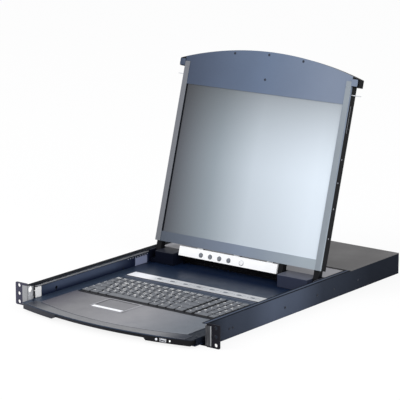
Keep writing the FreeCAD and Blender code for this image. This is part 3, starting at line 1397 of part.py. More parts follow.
def control_bar():
    back = BAR_FACE - BAR_DEPTH
    shell = box(BAR_LEFT, BAR_RIGHT, BAR_BOTTOM, BAR_TOP, back, BAR_FACE)
    hollow = box(BAR_LEFT + BAR_WALL, BAR_RIGHT - BAR_WALL, BAR_BOTTOM + BAR_WALL, BAR_TOP - BAR_WALL,
                 back - OVERRUN, BAR_FACE - BAR_WALL)
    tools = [hollow]
    for u in menu_button_places():
        tools.append(button_bore(u, MENU_BUTTON_RADIUS))
    tools.append(button_bore(POWER_BUTTON_U, POWER_BUTTON_RADIUS))
    tabs = []
    for share in BAR_TAB_SHARES:
        u = BAR_LEFT + share * BAR_LENGTH
        tabs.append(box(u - BAR_TAB_WIDTH / 2, u + BAR_TAB_WIDTH / 2, BAR_TOP, 0,
                        back + BAR_TAB_INSET, FRAME_BACK - OVERRUN))
    return join([cut(shell, tools)] + tabs)


def menu_button_places():
    places = []
    for index in range(MENU_BUTTONS):
        places.append(BAR_LEFT + (MENU_BUTTON_FIRST_SHARE + index * MENU_BUTTON_PITCH_SHARE) * BAR_LENGTH)
    return places


def button_bore(u, radius):
    start = Vector(u, BUTTON_ROW_V, BAR_FACE - BAR_WALL - OVERRUN)
    return rod(radius + BUTTON_CLEARANCE, start, Vector(u, BUTTON_ROW_V, BAR_FACE + OVERRUN))


def bar_button(u, radius):
    """Push button with the square collar that keeps it behind the bar's face."""
    face = BAR_FACE + BUTTON_PROUD
    collar_top = BAR_FACE - BAR_WALL - SEAT_GAP
    foot = collar_top - BUTTON_COLLAR_THICKNESS
    shaft = rod(radius, Vector(u, BUTTON_ROW_V, foot), Vector(u, BUTTON_ROW_V, face))
    rim = [edge for edge in shaft.Edges if abs(edge.CenterOfMass.z - face) < SMALL]
    shaft = shaft.makeChamfer(BUTTON_EDGE, rim)
    half = radius + BUTTON_COLLAR
    collar = box(u - half, u + half, BUTTON_ROW_V - half, BUTTON_ROW_V + half, foot, collar_top)
    return join([shaft, collar])


def hinge_arm(u0, u1, pin_from, pin_to):
    """Leaf from the display's bottom edge down to a barrel and pin on the hinge axis."""
    half = HINGE_BARREL_RADIUS
    leaf = box(u0, u1, -HINGE_BELOW, 0, -HINGE_BEHIND - half, -HINGE_BEHIND + half)
    barrel = rod(half, Vector(u0, -HINGE_BELOW, -HINGE_BEHIND), Vector(u1, -HINGE_BELOW, -HINGE_BEHIND))
    pin = rod(HINGE_PIN_RADIUS, Vector(pin_from, -HINGE_BELOW, -HINGE_BEHIND),
              Vector(pin_to, -HINGE_BELOW, -HINGE_BEHIND))
    return join([leaf, barrel, pin])


def hinge_leaves():
    left = hinge_arm(-OUTER_ARM_OUTER, -OUTER_ARM_INNER, -OUTER_ARM_OUTER - ARM_SIDE_GAP - PIN_STUB,
                     -OUTER_ARM_INNER + PIN_REACH)
    inner = hinge_arm(INNER_ARM_LEFT, INNER_ARM_RIGHT, INNER_ARM_LEFT, INNER_ARM_RIGHT + PIN_REACH)
    right = hinge_arm(OUTER_ARM_INNER, OUTER_ARM_OUTER, OUTER_ARM_INNER - PIN_REACH,
                      OUTER_ARM_OUTER + ARM_SIDE_GAP + PIN_STUB)
    return [left, inner, right]


def catch_housing():
    """Wing beside the handle that holds the release catch."""
    inner = DISPLAY_HALF_WIDTH
    shoulder = DISPLAY_CROWN - arch_drop(WING_OUTER)
    root = DISPLAY_CROWN - arch_drop(inner)
    profile = [
        Vector(inner, WING_BOTTOM, DISPLAY_BACK), Vector(WING_OUTER, WING_BOTTOM, DISPLAY_BACK),
        Vector(WING_OUTER, shoulder, DISPLAY_BACK), Vector(inner, root, DISPLAY_BACK),
    ]
    block = prism(profile, Vector(0, 0, -DISPLAY_BACK))
    return cut(block, [catch_pocket(), catch_stem_bore()])


def catch_centre():
    u = catch_left_u() + CATCH_SIZE_U - CATCH_STEM
    v = WING_BOTTOM + CATCH_BOTTOM_MARGIN + CATCH_SIZE_V / 2.0
    return u, v


def catch_stem_bore():
    u, v = catch_centre()
    half = CATCH_STEM / 2.0 + BUTTON_CLEARANCE
    deep = CATCH_PROUD - CATCH_THICKNESS - CATCH_STEM_LENGTH - CATCH_TRAVEL - BUTTON_CLEARANCE
    return box(u - half, u + half, v - half, v + half, deep, WING_FACE + OVERRUN)


def release_catch():
    u0 = catch_left_u()
    v0 = WING_BOTTOM + CATCH_BOTTOM_MARGIN
    cap = box(u0, u0 + CATCH_SIZE_U, v0, v0 + CATCH_SIZE_V, CATCH_PROUD - CATCH_THICKNESS, CATCH_PROUD)
    cap = round_edges(cap, CATCH_CORNER_RADIUS, Z_AXIS)
    u, v = catch_centre()
    half = CATCH_STEM / 2.0
    foot = CATCH_PROUD - CATCH_THICKNESS - CATCH_STEM_LENGTH
    stem = box(u - half, u + half, v - half, v + half, foot, CATCH_PROUD - CATCH_THICKNESS)
    return join([cap, stem])


def latch_wire():
    """Spring wire bow that springs out of the side of the display."""
    half = WIRE_SPAN / 2.0
    end = WIRE_TIP - WIRE_RADIUS
    bend = end - half
    flat = half * WIRE_TIP_FLAT
    corners = [(WIRE_ROOT, -half), (bend, -half), (end, -flat), (end, flat), (bend, half), (WIRE_ROOT, half)]
    path = Part.makePolygon([Vector(u, WIRE_V, WIRE_W + w) for u, w in corners])
    ring = []
    for index in range(SHANK_SIDES + 1):
        angle = 2.0 * math.pi * index / SHANK_SIDES
        offset = Vector(0, WIRE_RADIUS * math.cos(angle), WIRE_RADIUS * math.sin(angle))
        ring.append(Vector(WIRE_ROOT, WIRE_V, WIRE_W - half) + offset)
    return path.makePipeShell([Part.makePolygon(ring)], True, False, 1)


# Saving

def save_chassis():
    save("chassis_pan", [chassis_pan()])
    save("rear_top_cover", [rear_top_cover()])
    save("rear_panel", [rear_panel()])
    ear = rack_ear()
    save("rack_ear_right", [ear])
    save("rack_ear_left", [mirrored(ear)])
    bracket = slide_bracket()
    save("slide_brackets", [bracket, mirrored(bracket)])
    save("chassis_screws", chassis_screws())
    save("power_inlet", power_inlet())
    save("power_switch", [power_switch()])
    save("console_ports", console_ports())
    save("power_supply", [power_supply()])
    save("switch_board", [switch_board()])


def save_slides():
    for name, member in (
        ("slide_outer_members", slide_outer_member()),
        ("slide_middle_members", slide_middle_member()),
        ("slide_inner_members", slide_inner_member()),
    ):
        save(name, [member, mirrored(member)])
    save("outer_ball_cages", ball_cages(SLIDE_TOP - SLIDE_SHEET))
    save("inner_ball_cages", ball_cages(outer_race_height() - SLIDE_SHEET))


def save_drawer():
    save("drawer_tray", [drawer_tray()])
    save("keyboard_deck", [keyboard_deck()])
    save("palm_rest", [palm_rest()])
    save("front_trim", [front_trim()])
    save("front_grip", [front_grip()])
    save("usb_port", [usb_port()])
    save("reset_button", [reset_button()])
    save("status_light", [status_light()])
    save("touchpad", [touchpad()])
    middle = (PAD_LEFT + PAD_RIGHT) / 2.0
    save("touchpad_button_left", [pad_button(PAD_LEFT, middle)])
    save("touchpad_button_right", [pad_button(middle, PAD_RIGHT)])
    save("port_strip", [port_strip()])
    save("port_buttons", port_buttons())
    save("drawer_boards", [keyboard_board(), control_board()])
    save_keys()
    save("hinge_box_left", [left_hinge_box()])
    save("hinge_box_right", [right_hinge_box()])
    save("rear_deck", [rear_deck()])
    save("deck_screws", deck_screws())


def save_display_parts():
    save_display("lcd_front_frame", [lcd_front_frame()])
    strip = side_strip()
    save_display("side_strips", [strip, mirrored(strip)])
    save_display("lcd_rear_cover", [lcd_rear_cover()])
    save_display("lcd_glass", [lcd_glass()])
    save_display("lcd_module", [lcd_module()])
    save_display("handle_screws", handle_screws())
    save_display("control_bar", [control_bar()])
    for index, u in enumerate(menu_button_places()):
        save_display("menu_button_" + str(index + 1), [bar_button(u, MENU_BUTTON_RADIUS)])
    save_display("lcd_power_button", [bar_button(POWER_BUTTON_U, POWER_BUTTON_RADIUS)])
    save_display("hinge_leaves", hinge_leaves())
    housing = catch_housing()
    save_display("catch_housings", [housing, mirrored(housing)])
    catch = release_catch()
    save_display("release_catch_right", [catch])
    save_display("release_catch_left", [mirrored(catch)])
    wire = latch_wire()
    save_display("latch_wire_right", [wire])
    save_display("latch_wire_left", [mirrored(wire)])


os.makedirs("parts", exist_ok=True)
save_chassis()
save_slides()
save_drawer()
save_display_parts()
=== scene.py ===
"""Finishes and fine pieces of a rackmount display console drawer, laid over its solid model."""
import json
import math

import bmesh
import bpy
from bpy.props import FloatProperty, FloatVectorProperty, IntProperty, PointerProperty
from mathutils import Matrix, Vector

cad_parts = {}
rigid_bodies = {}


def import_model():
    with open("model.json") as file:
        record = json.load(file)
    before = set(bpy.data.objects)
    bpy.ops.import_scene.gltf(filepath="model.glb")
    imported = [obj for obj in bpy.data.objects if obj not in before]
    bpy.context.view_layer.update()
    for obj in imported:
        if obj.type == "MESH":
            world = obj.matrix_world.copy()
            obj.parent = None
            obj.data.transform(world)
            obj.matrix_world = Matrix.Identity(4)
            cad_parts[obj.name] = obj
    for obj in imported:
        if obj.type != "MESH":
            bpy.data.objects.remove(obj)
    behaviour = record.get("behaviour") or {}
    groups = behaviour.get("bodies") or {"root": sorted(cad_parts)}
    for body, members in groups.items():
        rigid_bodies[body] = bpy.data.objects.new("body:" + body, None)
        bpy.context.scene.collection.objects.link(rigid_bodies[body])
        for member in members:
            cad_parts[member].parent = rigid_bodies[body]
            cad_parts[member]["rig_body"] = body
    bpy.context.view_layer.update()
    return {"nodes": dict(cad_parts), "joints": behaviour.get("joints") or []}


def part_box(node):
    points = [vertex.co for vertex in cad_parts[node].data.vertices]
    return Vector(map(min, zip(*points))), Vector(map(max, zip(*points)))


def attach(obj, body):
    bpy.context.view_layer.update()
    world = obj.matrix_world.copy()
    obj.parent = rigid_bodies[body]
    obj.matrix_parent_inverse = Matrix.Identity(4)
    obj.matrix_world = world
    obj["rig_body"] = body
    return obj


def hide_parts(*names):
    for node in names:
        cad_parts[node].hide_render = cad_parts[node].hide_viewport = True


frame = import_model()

bl_info = {
    "name": "Display console drawer",
    "version": (1, 0, 0),
    "blender": (4, 5, 0),
    "location": "View3D > Sidebar > Console drawer",
    "description": "Dresses the solids of a rack console drawer with finishes, key caps, screws and sockets",
    "category": "Object",
}

# What the solid model settles, with places in metres
NODES = frame["nodes"]
JOINTS = {joint["name"]: joint for joint in frame["joints"]}
HINGE = Vector(JOINTS["display_hinge"]["pos_m"])
FLOOR_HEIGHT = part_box("chassis_pan")[0].z

# Span within which corners are one, height of print above a surface, and depth of a coloured upper edge
MERGE_DISTANCE = 0.000002
SKIN = 0.00006
CROWN_DEPTH = 0.0004

# The display leans back from upright, stands off its hinge axis, and its screen lies between these heights
DISPLAY_TILT = math.radians(15.92)
FACE_UP = Vector((0, math.sin(DISPLAY_TILT), math.cos(DISPLAY_TILT)))
FACE_OUT = Vector((0, -math.cos(DISPLAY_TILT), math.sin(DISPLAY_TILT)))
BOTTOM_ABOVE_HINGE = 0.025
FACE_BEFORE_HINGE = 0.009
SCREEN_BOTTOM = 0.0195
SCREEN_TOP = 0.3197
DISPLAY_ORIGIN = HINGE + FACE_UP * BOTTOM_ABOVE_HINGE + FACE_OUT * FACE_BEFORE_HINGE
DISPLAY_PLACE = Matrix((
    (1, 0, 0, DISPLAY_ORIGIN.x),
    (0, FACE_UP.y, FACE_OUT.y, DISPLAY_ORIGIN.y),
    (0, FACE_UP.z, FACE_OUT.z, DISPLAY_ORIGIN.z),
    (0, 0, 0, 1),
))
RIGHT = Vector((1, 0, 0))
BACK = Vector((0, 1, 0))
UP = Vector((0, 0, 1))


def srgb(red, green, blue):
    """Colour values as a paint card gives them, 0 to 255, as linear light."""
    shares = [value / 255.0 for value in (red, green, blue)]
    return tuple(s / 12.92 if s <= 0.04045 else ((s + 0.055) / 1.055) ** 2.4 for s in shares)


# Settings shown in the sidebar

def colour_property(name, description, default):
    return FloatVectorProperty(name=name, description=description, default=default, subtype="COLOR",
                               size=3, min=0.0, max=1.0)


def length_property(name, description, default):
    return FloatProperty(name=name, description=description, default=default, subtype="DISTANCE",
                         unit="LENGTH", precision=5)


def angle_property(name, description, degrees):
    return FloatProperty(name=name, description=description, default=math.radians(degrees), subtype="ANGLE",
                         unit="ROTATION")


class ConsoleColours(bpy.types.PropertyGroup):
    chassis: colour_property("Chassis", "Powder coat of the chassis", srgb(74, 82, 98))
    rear_cover: colour_property("Rear cover", "Coat of the rear top cover", srgb(96, 95, 96))
    rear_deck: colour_property("Rear deck", "Coat of the deck behind the hinge boxes", srgb(156, 156, 161))
    ears: colour_property("Ears", "Coat of the rack ears", srgb(21, 21, 28))
    zinc: colour_property("Zinc", "Bright plated sheet", srgb(214, 216, 221))
    deck: colour_property("Deck", "Coat of the keyboard deck", srgb(14, 26, 48))
    tray: colour_property("Tray", "Coat of the drawer tray", srgb(43, 53, 71))
    palm: colour_property("Palm rest", "Moulded palm rest", srgb(131, 131, 136))
    grip: colour_property("Front grip", "Moulded front grip", srgb(42, 43, 48))
    strips: colour_property("Side strips", "Mouldings beside the screen", srgb(130, 136, 145))
    # Palest part of the painted reflection on the screen
    screen: colour_property("Screen", "Palest part of the screen, on its right", srgb(205, 215, 225))
    back: colour_property("Display back", "Coat of the display's rear shell", srgb(12, 13, 17))
    bar: colour_property("Control bar", "White moulding below the screen", srgb(250, 251, 253))
    buttons: colour_property("Buttons", "Round menu buttons", srgb(120, 124, 132))
    keys: colour_property("Keys", "Key caps", srgb(101, 104, 110))
    legends: colour_property("Legends", "Print on the key caps", srgb(255, 255, 255))
    port_strip: colour_property("Port strip", "Film of the port strip", srgb(205, 207, 211))
    board: colour_property("Boards", "Solder mask of the circuit boards", srgb(14, 44, 30))


class KeySizes(bpy.types.PropertyGroup):
    height: length_property("Height", "Height of a cap above its skirt", 0.0064)
    shoulder: length_property("Shoulder", "How far a cap draws in between skirt and top", 0.0014)
    edge: length_property("Edge", "Softening of a cap's upper edge", 0.0005)
    corner: length_property("Corner", "Radius of a cap's corners", 0.0012)
    dish: length_property("Dish", "Hollow of a cap's top", 0.00045)
    legend: length_property("Legend", "Height of a letter on a cap", 0.0088)
    legend_left: length_property("Legend left", "From a cap's left edge to its letter", 0.0024)
    legend_back: length_property("Legend back", "Between a cap's back or front edge and its print", 0.0024)


class ScrewSizes(bpy.types.PropertyGroup):
    recess_width: length_property("Recess width", "Width of a cross recess arm", 0.0007)
    recess_share: FloatProperty(name="Recess share", description="Length of a recess as a share of its head",
                                default=0.62)
    sides: IntProperty(name="Sides", description="Sides of a round head", default=24, min=8)


class StageSettings(bpy.types.PropertyGroup):
    camera_place: FloatVectorProperty(name="Camera", description="Place of the camera", subtype="TRANSLATION",
                                      unit="LENGTH", default=(2.3528, -2.8085, 1.0646))
    camera_tilt: angle_property("Tilt", "Camera's turn up from straight down", 76.916)
    camera_turn: angle_property("Turn", "Camera's turn about the vertical", 37.507)
    camera_roll: angle_property("Roll", "Camera's roll about its view", 0.064)
    lens: FloatProperty(name="Lens", description="Focal length in millimetres", default=188.18)
    world_light: FloatProperty(name="World", description="Strength of the even light", default=0.93)
    key_light: FloatProperty(name="Key", description="Power of the large front light in watts", default=63.0)
    fill_light: FloatProperty(name="Fill", description="Power of the right-hand light in watts", default=24.0)


# Node helpers, for materials and for Geometry Nodes alike

def add(tree, kind, inputs=None, **settings):
    node = tree.nodes.new(kind)
    for key, value in settings.items():
        setattr(node, key, value)
    for key, value in (inputs or {}).items():
        if isinstance(value, bpy.types.NodeSocket):
            tree.links.new(value, node.inputs[key])
        else:
            node.inputs[key].default_value = value
    return node


def arithmetic(tree, operation, first, second):
    return add(tree, "ShaderNodeMath", {0: first, 1: second}, operation=operation).outputs[0]


def new_material(name, metallic=0.0, roughness=0.5, specular=0.5):
    material = bpy.data.materials.new(name)
    material.use_nodes = True
    shader = material.node_tree.nodes["Principled BSDF"]
    shader.inputs["Metallic"].default_value = metallic
    shader.inputs["Roughness"].default_value = roughness
    shader.inputs["Specular IOR Level"].default_value = specular
    return material, material.node_tree, shader


def place_vector(tree, scale=(1.0, 1.0, 1.0)):
    place = add(tree, "ShaderNodeTexCoord")
    return add(tree, "ShaderNodeMapping", {"Vector": place.outputs["Object"], "Scale": scale}).outputs[0]


def noise(tree, vector, scale, detail=3.0, roughness=0.55):
    node = add(tree, "ShaderNodeTexNoise", {"Vector": vector, "Scale": scale, "Detail": detail,
                                            "Roughness": roughness})
    return node.outputs["Fac"]


def spread(tree, value, low, high, to_low, to_high):
    node = add(tree, "ShaderNodeMapRange", {"Value": value, "From Min": low, "From Max": high,
                                            "To Min": to_low, "To Max": to_high})
    return node.outputs["Result"]


def blend_colours(tree, factor, first, second):
    node = add(tree, "ShaderNodeMix", data_type="RGBA")
    for socket, value in ((node.inputs[0], factor), (node.inputs[6], first), (node.inputs[7], second)):
        if isinstance(value, bpy.types.NodeSocket):
            tree.links.new(value, socket)
        elif hasattr(value, "__len__"):
            socket.default_value = (*value, 1.0)
        else:
            socket.default_value = value
    return node.outputs[2]


def shade(colour, share):
    return tuple(min(1.0, channel * share) for channel in colour)


def blend(first, second, share):
    return tuple(a + (b - a) * share for a, b in zip(first, second))


def edge_normal(tree, radius):
    return add(tree, "ShaderNodeBevel", {"Radius": radius}, samples=4).outputs["Normal"]


def edge_mask(tree, radius):
    """1 along sharp edges and 0 on flat faces."""
    soft = edge_normal(tree, radius)
    flat = add(tree, "ShaderNodeNewGeometry").outputs["Normal"]
    dot = add(tree, "ShaderNodeVectorMath", {0: soft, 1: flat}, operation="DOT_PRODUCT").outputs["Value"]
    bent, straight = 0.90, 0.998
    return spread(tree, dot, bent, straight, 1.0, 0.0)


def grain_bump(tree, shader, vector, scale, depth, radius):
    """Fine relief over softened edges."""
    height = noise(tree, vector, scale, 2.0, 0.6)
    node = add(tree, "ShaderNodeBump", {"Height": height, "Distance": depth, "Strength": 0.6,
                                        "Normal": edge_normal(tree, radius)})
    tree.links.new(node.outputs["Normal"], shader.inputs["Normal"])


# Finishes

def vary(tree, colour, vector, scale, amount):
    """Lets a colour drift a little lighter and darker from place to place."""
    value = spread(tree, noise(tree, vector, scale), 0.3, 0.7, 1.0 - amount, 1.0 + amount)
    given = colour if isinstance(colour, bpy.types.NodeSocket) else (*colour, 1.0)
    return add(tree, "ShaderNodeHueSaturation", {"Value": value, "Color": given}).outputs["Color"]


def ramp(tree, value, low, high, stops):
    """Colour that changes with a value, through stops of a share of the way and a colour."""
    node = add(tree, "ShaderNodeValToRGB", {"Fac": spread(tree, value, low, high, 0.0, 1.0)})
    elements = node.color_ramp.elements
    elements[0].position = stops[0][0]
    elements[-1].position = stops[-1][0]
    for stop in stops[1:-1]:
        elements.new(stop[0])
    for element, stop in zip(elements, stops):
        element.color = (*stop[1], 1.0)
    return node.outputs["Color"]


def axis_of(tree, vector, name):
    return add(tree, "ShaderNodeSeparateXYZ", {"Vector": vector}).outputs[name]


def beyond(tree, vector, name, limit):
    """1 where a place lies past a limit along an axis, and 0 elsewhere."""
    return arithmetic(tree, "GREATER_THAN", axis_of(tree, vector, name), limit)


def short_of(tree, vector, name, limit):
    """1 where a place lies before a limit along an axis, and 0 elsewhere."""
    return arithmetic(tree, "LESS_THAN", axis_of(tree, vector, name), limit)


def up_the_display(tree, vector):
    """Distance of a place up the display from its bottom edge."""
    height = add(tree, "ShaderNodeVectorMath", {0: vector, 1: tuple(FACE_UP)}, operation="DOT_PRODUCT")
    return arithmetic(tree, "SUBTRACT", height.outputs["Value"], DISPLAY_ORIGIN.dot(FACE_UP))


def painted(name, colour, roughness=0.42, grain=0.00004, wear=0.35, specular=0.12, cast=None):
    """Powder coat with fine orange peel, handling marks and paler worn edges."""
    material, tree, shader = new_material(name, roughness=roughness, specular=specular)
    vector = place_vector(tree)
    toned = colour if cast is None else cast(tree, vector)
    base = vary(tree, toned, vector, 9.0, 0.05)
    speckle = spread(tree, noise(tree, vector, 900.0, 2.0), 0.56, 0.70, 0.0, 0.06)
    base = blend_colours(tree, speckle, base, shade(colour, 1.9))
    worn = arithmetic(tree, "MULTIPLY", edge_mask(tree, 0.0006),
                      spread(tree, noise(tree, vector, 160.0), 0.35, 0.65, 0.0, wear))
    pale = tuple(min(1.0, channel * 1.5 + 0.06) for channel in colour)
    tree.links.new(blend_colours(tree, worn, base, pale), shader.inputs["Base Color"])
    smudge = spread(tree, noise(tree, vector, 14.0, 4.0), 0.3, 0.7, roughness - 0.07, roughness + 0.09)
    tree.links.new(smudge, shader.inputs["Roughness"])
    grain_bump(tree, shader, vector, 1600.0, grain, 0.0005)
    return material


def moulded(name, colour, roughness=0.5, grain=0.00005, grain_scale=1800.0, specular=0.2, edges=0.0,
            cast=None):
    """Moulded plastic with a spark-eroded grain, and a painted highlight along its edges where edges is above
    zero.
    """
    material, tree, shader = new_material(name, roughness=roughness, specular=specular)
    vector = place_vector(tree)
    toned = colour if cast is None else cast(tree, vector)
    base = vary(tree, toned, vector, 22.0, 0.03)
    if edges > 0.0:
        # Painted highlight: the edges turn lighter than the faces
        rim = arithmetic(tree, "MULTIPLY", edge_mask(tree, 0.0009), edges)
        base = blend_colours(tree, rim, base, shade(colour, 1.9))
    tree.links.new(base, shader.inputs["Base Color"])
    touched = spread(tree, noise(tree, vector, 30.0, 4.0), 0.35, 0.7, roughness - 0.06, roughness + 0.06)
    tree.links.new(touched, shader.inputs["Roughness"])
    grain_bump(tree, shader, vector, grain_scale, grain, 0.0004)
    return material


def plated(name, colour, roughness=0.32, streaks=(1.0, 0.02, 1.0), metallic=0.5, cast=None):
    """Bright zinc plate, drawn along the rack, with faint cloudy spangle."""
    material, tree, shader = new_material(name, metallic=metallic, roughness=roughness)
    shader.inputs["Anisotropic"].default_value = 0.4
    vector = place_vector(tree)
    drawn = place_vector(tree, streaks)
    toned = colour if cast is None else cast(tree, vector)
    base = vary(tree, toned, vector, 60.0, 0.08)
    scratch = spread(tree, noise(tree, drawn, 1400.0, 2.0), 0.4, 0.7, 0.0, 0.2)
    tree.links.new(blend_colours(tree, scratch, base, shade(colour, 0.62)), shader.inputs["Base Color"])
    dull = spread(tree, noise(tree, drawn, 700.0, 3.0), 0.3, 0.7, roughness - 0.08, roughness + 0.14)
    tree.links.new(dull, shader.inputs["Roughness"])
    grain_bump(tree, shader, drawn, 900.0, 0.00002, 0.0004)
    return material


def steel(name, colour):
    """Dark screw steel, finely mottled."""
    material, tree, shader = new_material(name, metallic=1.0)
    vector = place_vector(tree)
    tree.links.new(vary(tree, colour, vector, 400.0, 0.3), shader.inputs["Base Color"])
    rough = spread(tree, noise(tree, vector, 900.0), 0.3, 0.7, 0.25, 0.47)
    tree.links.new(rough, shader.inputs["Roughness"])
    grain_bump(tree, shader, vector, 1500.0, 0.00002, 0.0002)
    return material


def chassis_sheen_and_shade_cast(colour):
    """Painted blue sheen that swells along the walls, painted shade that darkens them towards both ends, and
    near black flanges with a painted highlight line on the right.
    """
    low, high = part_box("chassis_pan")
    # Shares of the colour along the walls, from front to back: painted sheen in the middle, painted shade at
    # both ends
    shares = ((0.0, 0.14), (0.09, 0.49), (0.19, 0.56), (0.32, 1.0), (0.44, 0.88), (0.57, 0.39), (0.70, 0.31),
              (0.84, 0.19), (1.0, 0.165))
    stops = [(place, shade(colour, share)) for place, share in shares]
    # Place and half width of the painted highlight line on the right-hand flange
    line_inset = 0.0062
    line_half_width = 0.0026

    def cast(tree, vector):
        along = ramp(tree, axis_of(tree, vector, "Y"), low.y, high.y, stops)
        across = arithmetic(tree, "SUBTRACT", axis_of(tree, vector, "X"), high.x - line_inset)
        lit = arithmetic(tree, "LESS_THAN", arithmetic(tree, "ABSOLUTE", across, 0.0), line_half_width)
        top = blend_colours(tree, lit, shade(colour, 0.08), shade(colour, 0.9))
        return blend_colours(tree, beyond(tree, vector, "Z", high.z - CROWN_DEPTH), along, top)
    return cast


def across_cast(half, stops):
    """Colour that changes from left to right."""
    def cast(tree, vector):
        return ramp(tree, axis_of(tree, vector, "X"), -half, half, stops)
    return cast


def frame_sheen_cast(upper, lower, inner, outer):
    """Colours of the handle and of the bezel, each with a painted sheen from dark at the left to light at the
    right, and black beside the screen's left edge.
    """
    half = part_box("lcd_front_frame")[1].x
    bezel_height, handle_height = 0.02, 0.33

    def cast(tree, vector):
        side = axis_of(tree, vector, "X")
        height = up_the_display(tree, vector)
        share = spread(tree, height, bezel_height, handle_height, 0.0, 1.0)
        foot = ramp(tree, side, -half, half, lower)
        toned = blend_colours(tree, share, foot, ramp(tree, side, -half, half, upper))
        beside = arithmetic(tree, "COMPARE", side, -(inner + outer) / 2)
        beside.node.inputs[2].default_value = (outer - inner) / 2
        above = arithmetic(tree, "GREATER_THAN", height, SCREEN_BOTTOM)
        below = arithmetic(tree, "LESS_THAN", height, SCREEN_TOP)
        dark = arithmetic(tree, "MULTIPLY", beside, arithmetic(tree, "MULTIPLY", above, below))
        return blend_colours(tree, dark, toned, srgb(12, 14, 22))
    return cast


def front_face_shadow_cast(node, colour):
    """Painted shadow: colour that stays near black on a piece's front face, which lies under the display."""
    depth = 0.0012
    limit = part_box(node)[0].y + depth

    def cast(tree, vector):
        return blend_colours(tree, short_of(tree, vector, "Y", limit), colour, srgb(9, 9, 14))
    return cast


def band_reflection_cast(colour, end_colour, start, end):
    """Painted reflection: pale colour in the middle of the front band that goes over to another towards both
    ends.
    """
    def cast(tree, vector):
        side = arithmetic(tree, "ABSOLUTE", axis_of(tree, vector, "X"), 0.0)
        node = add(tree, "ShaderNodeMapRange", {"Value": side, "From Min": start, "From Max": end},
                   interpolation_type="SMOOTHSTEP")
        return blend_colours(tree, node.outputs["Result"], colour, end_colour)
    return cast


def deck_shade_cast(colour):
    """Deck in painted shade: lighter towards the keyboard than under the screen, and dark at its front right.
    """
    light = srgb(45, 56, 73)
    stops = [(0.0, light), (0.45, light), (1.0, colour)]
    keys_back, deck_back = 0.20, 0.35
    right_start, right_end = 0.13, 0.18
    front_start, front_end = 0.04, 0.08

    def cast(tree, vector):
        along = ramp(tree, axis_of(tree, vector, "Y"), keys_back, deck_back, stops)
        right = spread(tree, axis_of(tree, vector, "X"), right_start, right_end, 0.0, 1.0)
        front = spread(tree, axis_of(tree, vector, "Y"), front_start, front_end, 1.0, 0.0)
        return blend_colours(tree, arithmetic(tree, "MULTIPLY", right, front), along, srgb(24, 28, 38))
    return cast


def tray_light_and_shade_cast(colour):
    """Tray walls with painted light that makes them paler along their upper half, and that fade into painted
    shade towards the hinge boxes.
    """
    low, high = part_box("drawer_tray")
    tall = high.z - low.z
    start, end = low.z + 0.45 * tall, low.z + 0.75 * tall
    hinge_boxes = 0.30
    pale = srgb(72, 82, 104)
    deep = srgb(22, 30, 52)
    stops = [(0.0, colour), (0.25, pale), (0.8, pale), (1.0, deep)]

    def cast(tree, vector):
        upper = spread(tree, axis_of(tree, vector, "Z"), start, end, 0.0, 1.0)
        along = ramp(tree, axis_of(tree, vector, "Y"), 0.0, hinge_boxes, stops)
        walled = blend_colours(tree, upper, deep, along)
        return blend_colours(tree, beyond(tree, vector, "Z", high.z - CROWN_DEPTH), walled, srgb(40, 44, 54))
    return cast


def bracket_shade_cast(colour):
    """Zinc with painted shade on both front flanges and on its rear strip behind the slide, and near black
    painted shade on the right-hand one.
    """
    low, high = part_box("slide_brackets")
    outer_strip = 0.0018
    front_strip = 0.002
    rear_strip = 0.0038

    def cast(tree, vector):
        inside = short_of(tree, vector, "X", high.x - outer_strip)
        dark = arithmetic(tree, "MULTIPLY", inside, beyond(tree, vector, "X", 0.0))
        front = short_of(tree, vector, "Y", low.y + front_strip)
        shaded = blend_colours(tree, front, shade(colour, 1.25), shade(colour, 0.5))
        behind = beyond(tree, vector, "Y", high.y - rear_strip)
        toned = blend_colours(tree, behind, shaded, srgb(22, 23, 29))
        return blend_colours(tree, dark, toned, srgb(14, 16, 25))
    return cast


def nose_highlight_cast(colour):
    """Painted highlight: zinc that turns pure white at the front ends of the inner slide members."""
    length = 0.016
    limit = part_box("slide_inner_members")[0].y + length

    def cast(tree, vector):
        return blend_colours(tree, short_of(tree, vector, "Y", limit), colour, srgb(255, 255, 255))
    return cast


def screen_with_painted_reflection(name, left, middle, right, top_share):
    """Semi-gloss screen with a painted reflection that grows from its dark left to its right, and fades
    towards its top.
    """
    low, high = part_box("lcd_glass")
    fade_start, fade_end = 0.16, 0.32
    fade_power = 1.6
    border_width = 0.0046
    material, tree, shader = new_material(name, roughness=0.24, specular=0.3)
    vector = place_vector(tree)
    # Painted reflection: weaker towards the top and growing from left to right
    share = spread(tree, up_the_display(tree, vector), fade_start, fade_end, 0.0, 1.0)
    level = spread(tree, arithmetic(tree, "POWER", share, fade_power), 0.0, 1.0, 1.0, top_share)
    stops = [(0.0, left), (0.27, middle), (0.52, blend(middle, right, 0.62)), (0.9, right)]
    across = ramp(tree, axis_of(tree, vector, "X"), low.x, high.x, stops)
    toned = add(tree, "ShaderNodeVectorMath", {0: across, "Scale": level}, operation="SCALE").outputs[0]
    border = short_of(tree, vector, "X", low.x + border_width)
    tree.links.new(blend_colours(tree, border, toned, srgb(10, 12, 20)), shader.inputs["Base Color"])
    cell = noise(tree, vector, 2600.0, 1.0)
    node = add(tree, "ShaderNodeBump", {"Height": cell, "Distance": 0.00001, "Strength": 0.25})
    tree.links.new(node.outputs["Normal"], shader.inputs["Normal"])
    return material


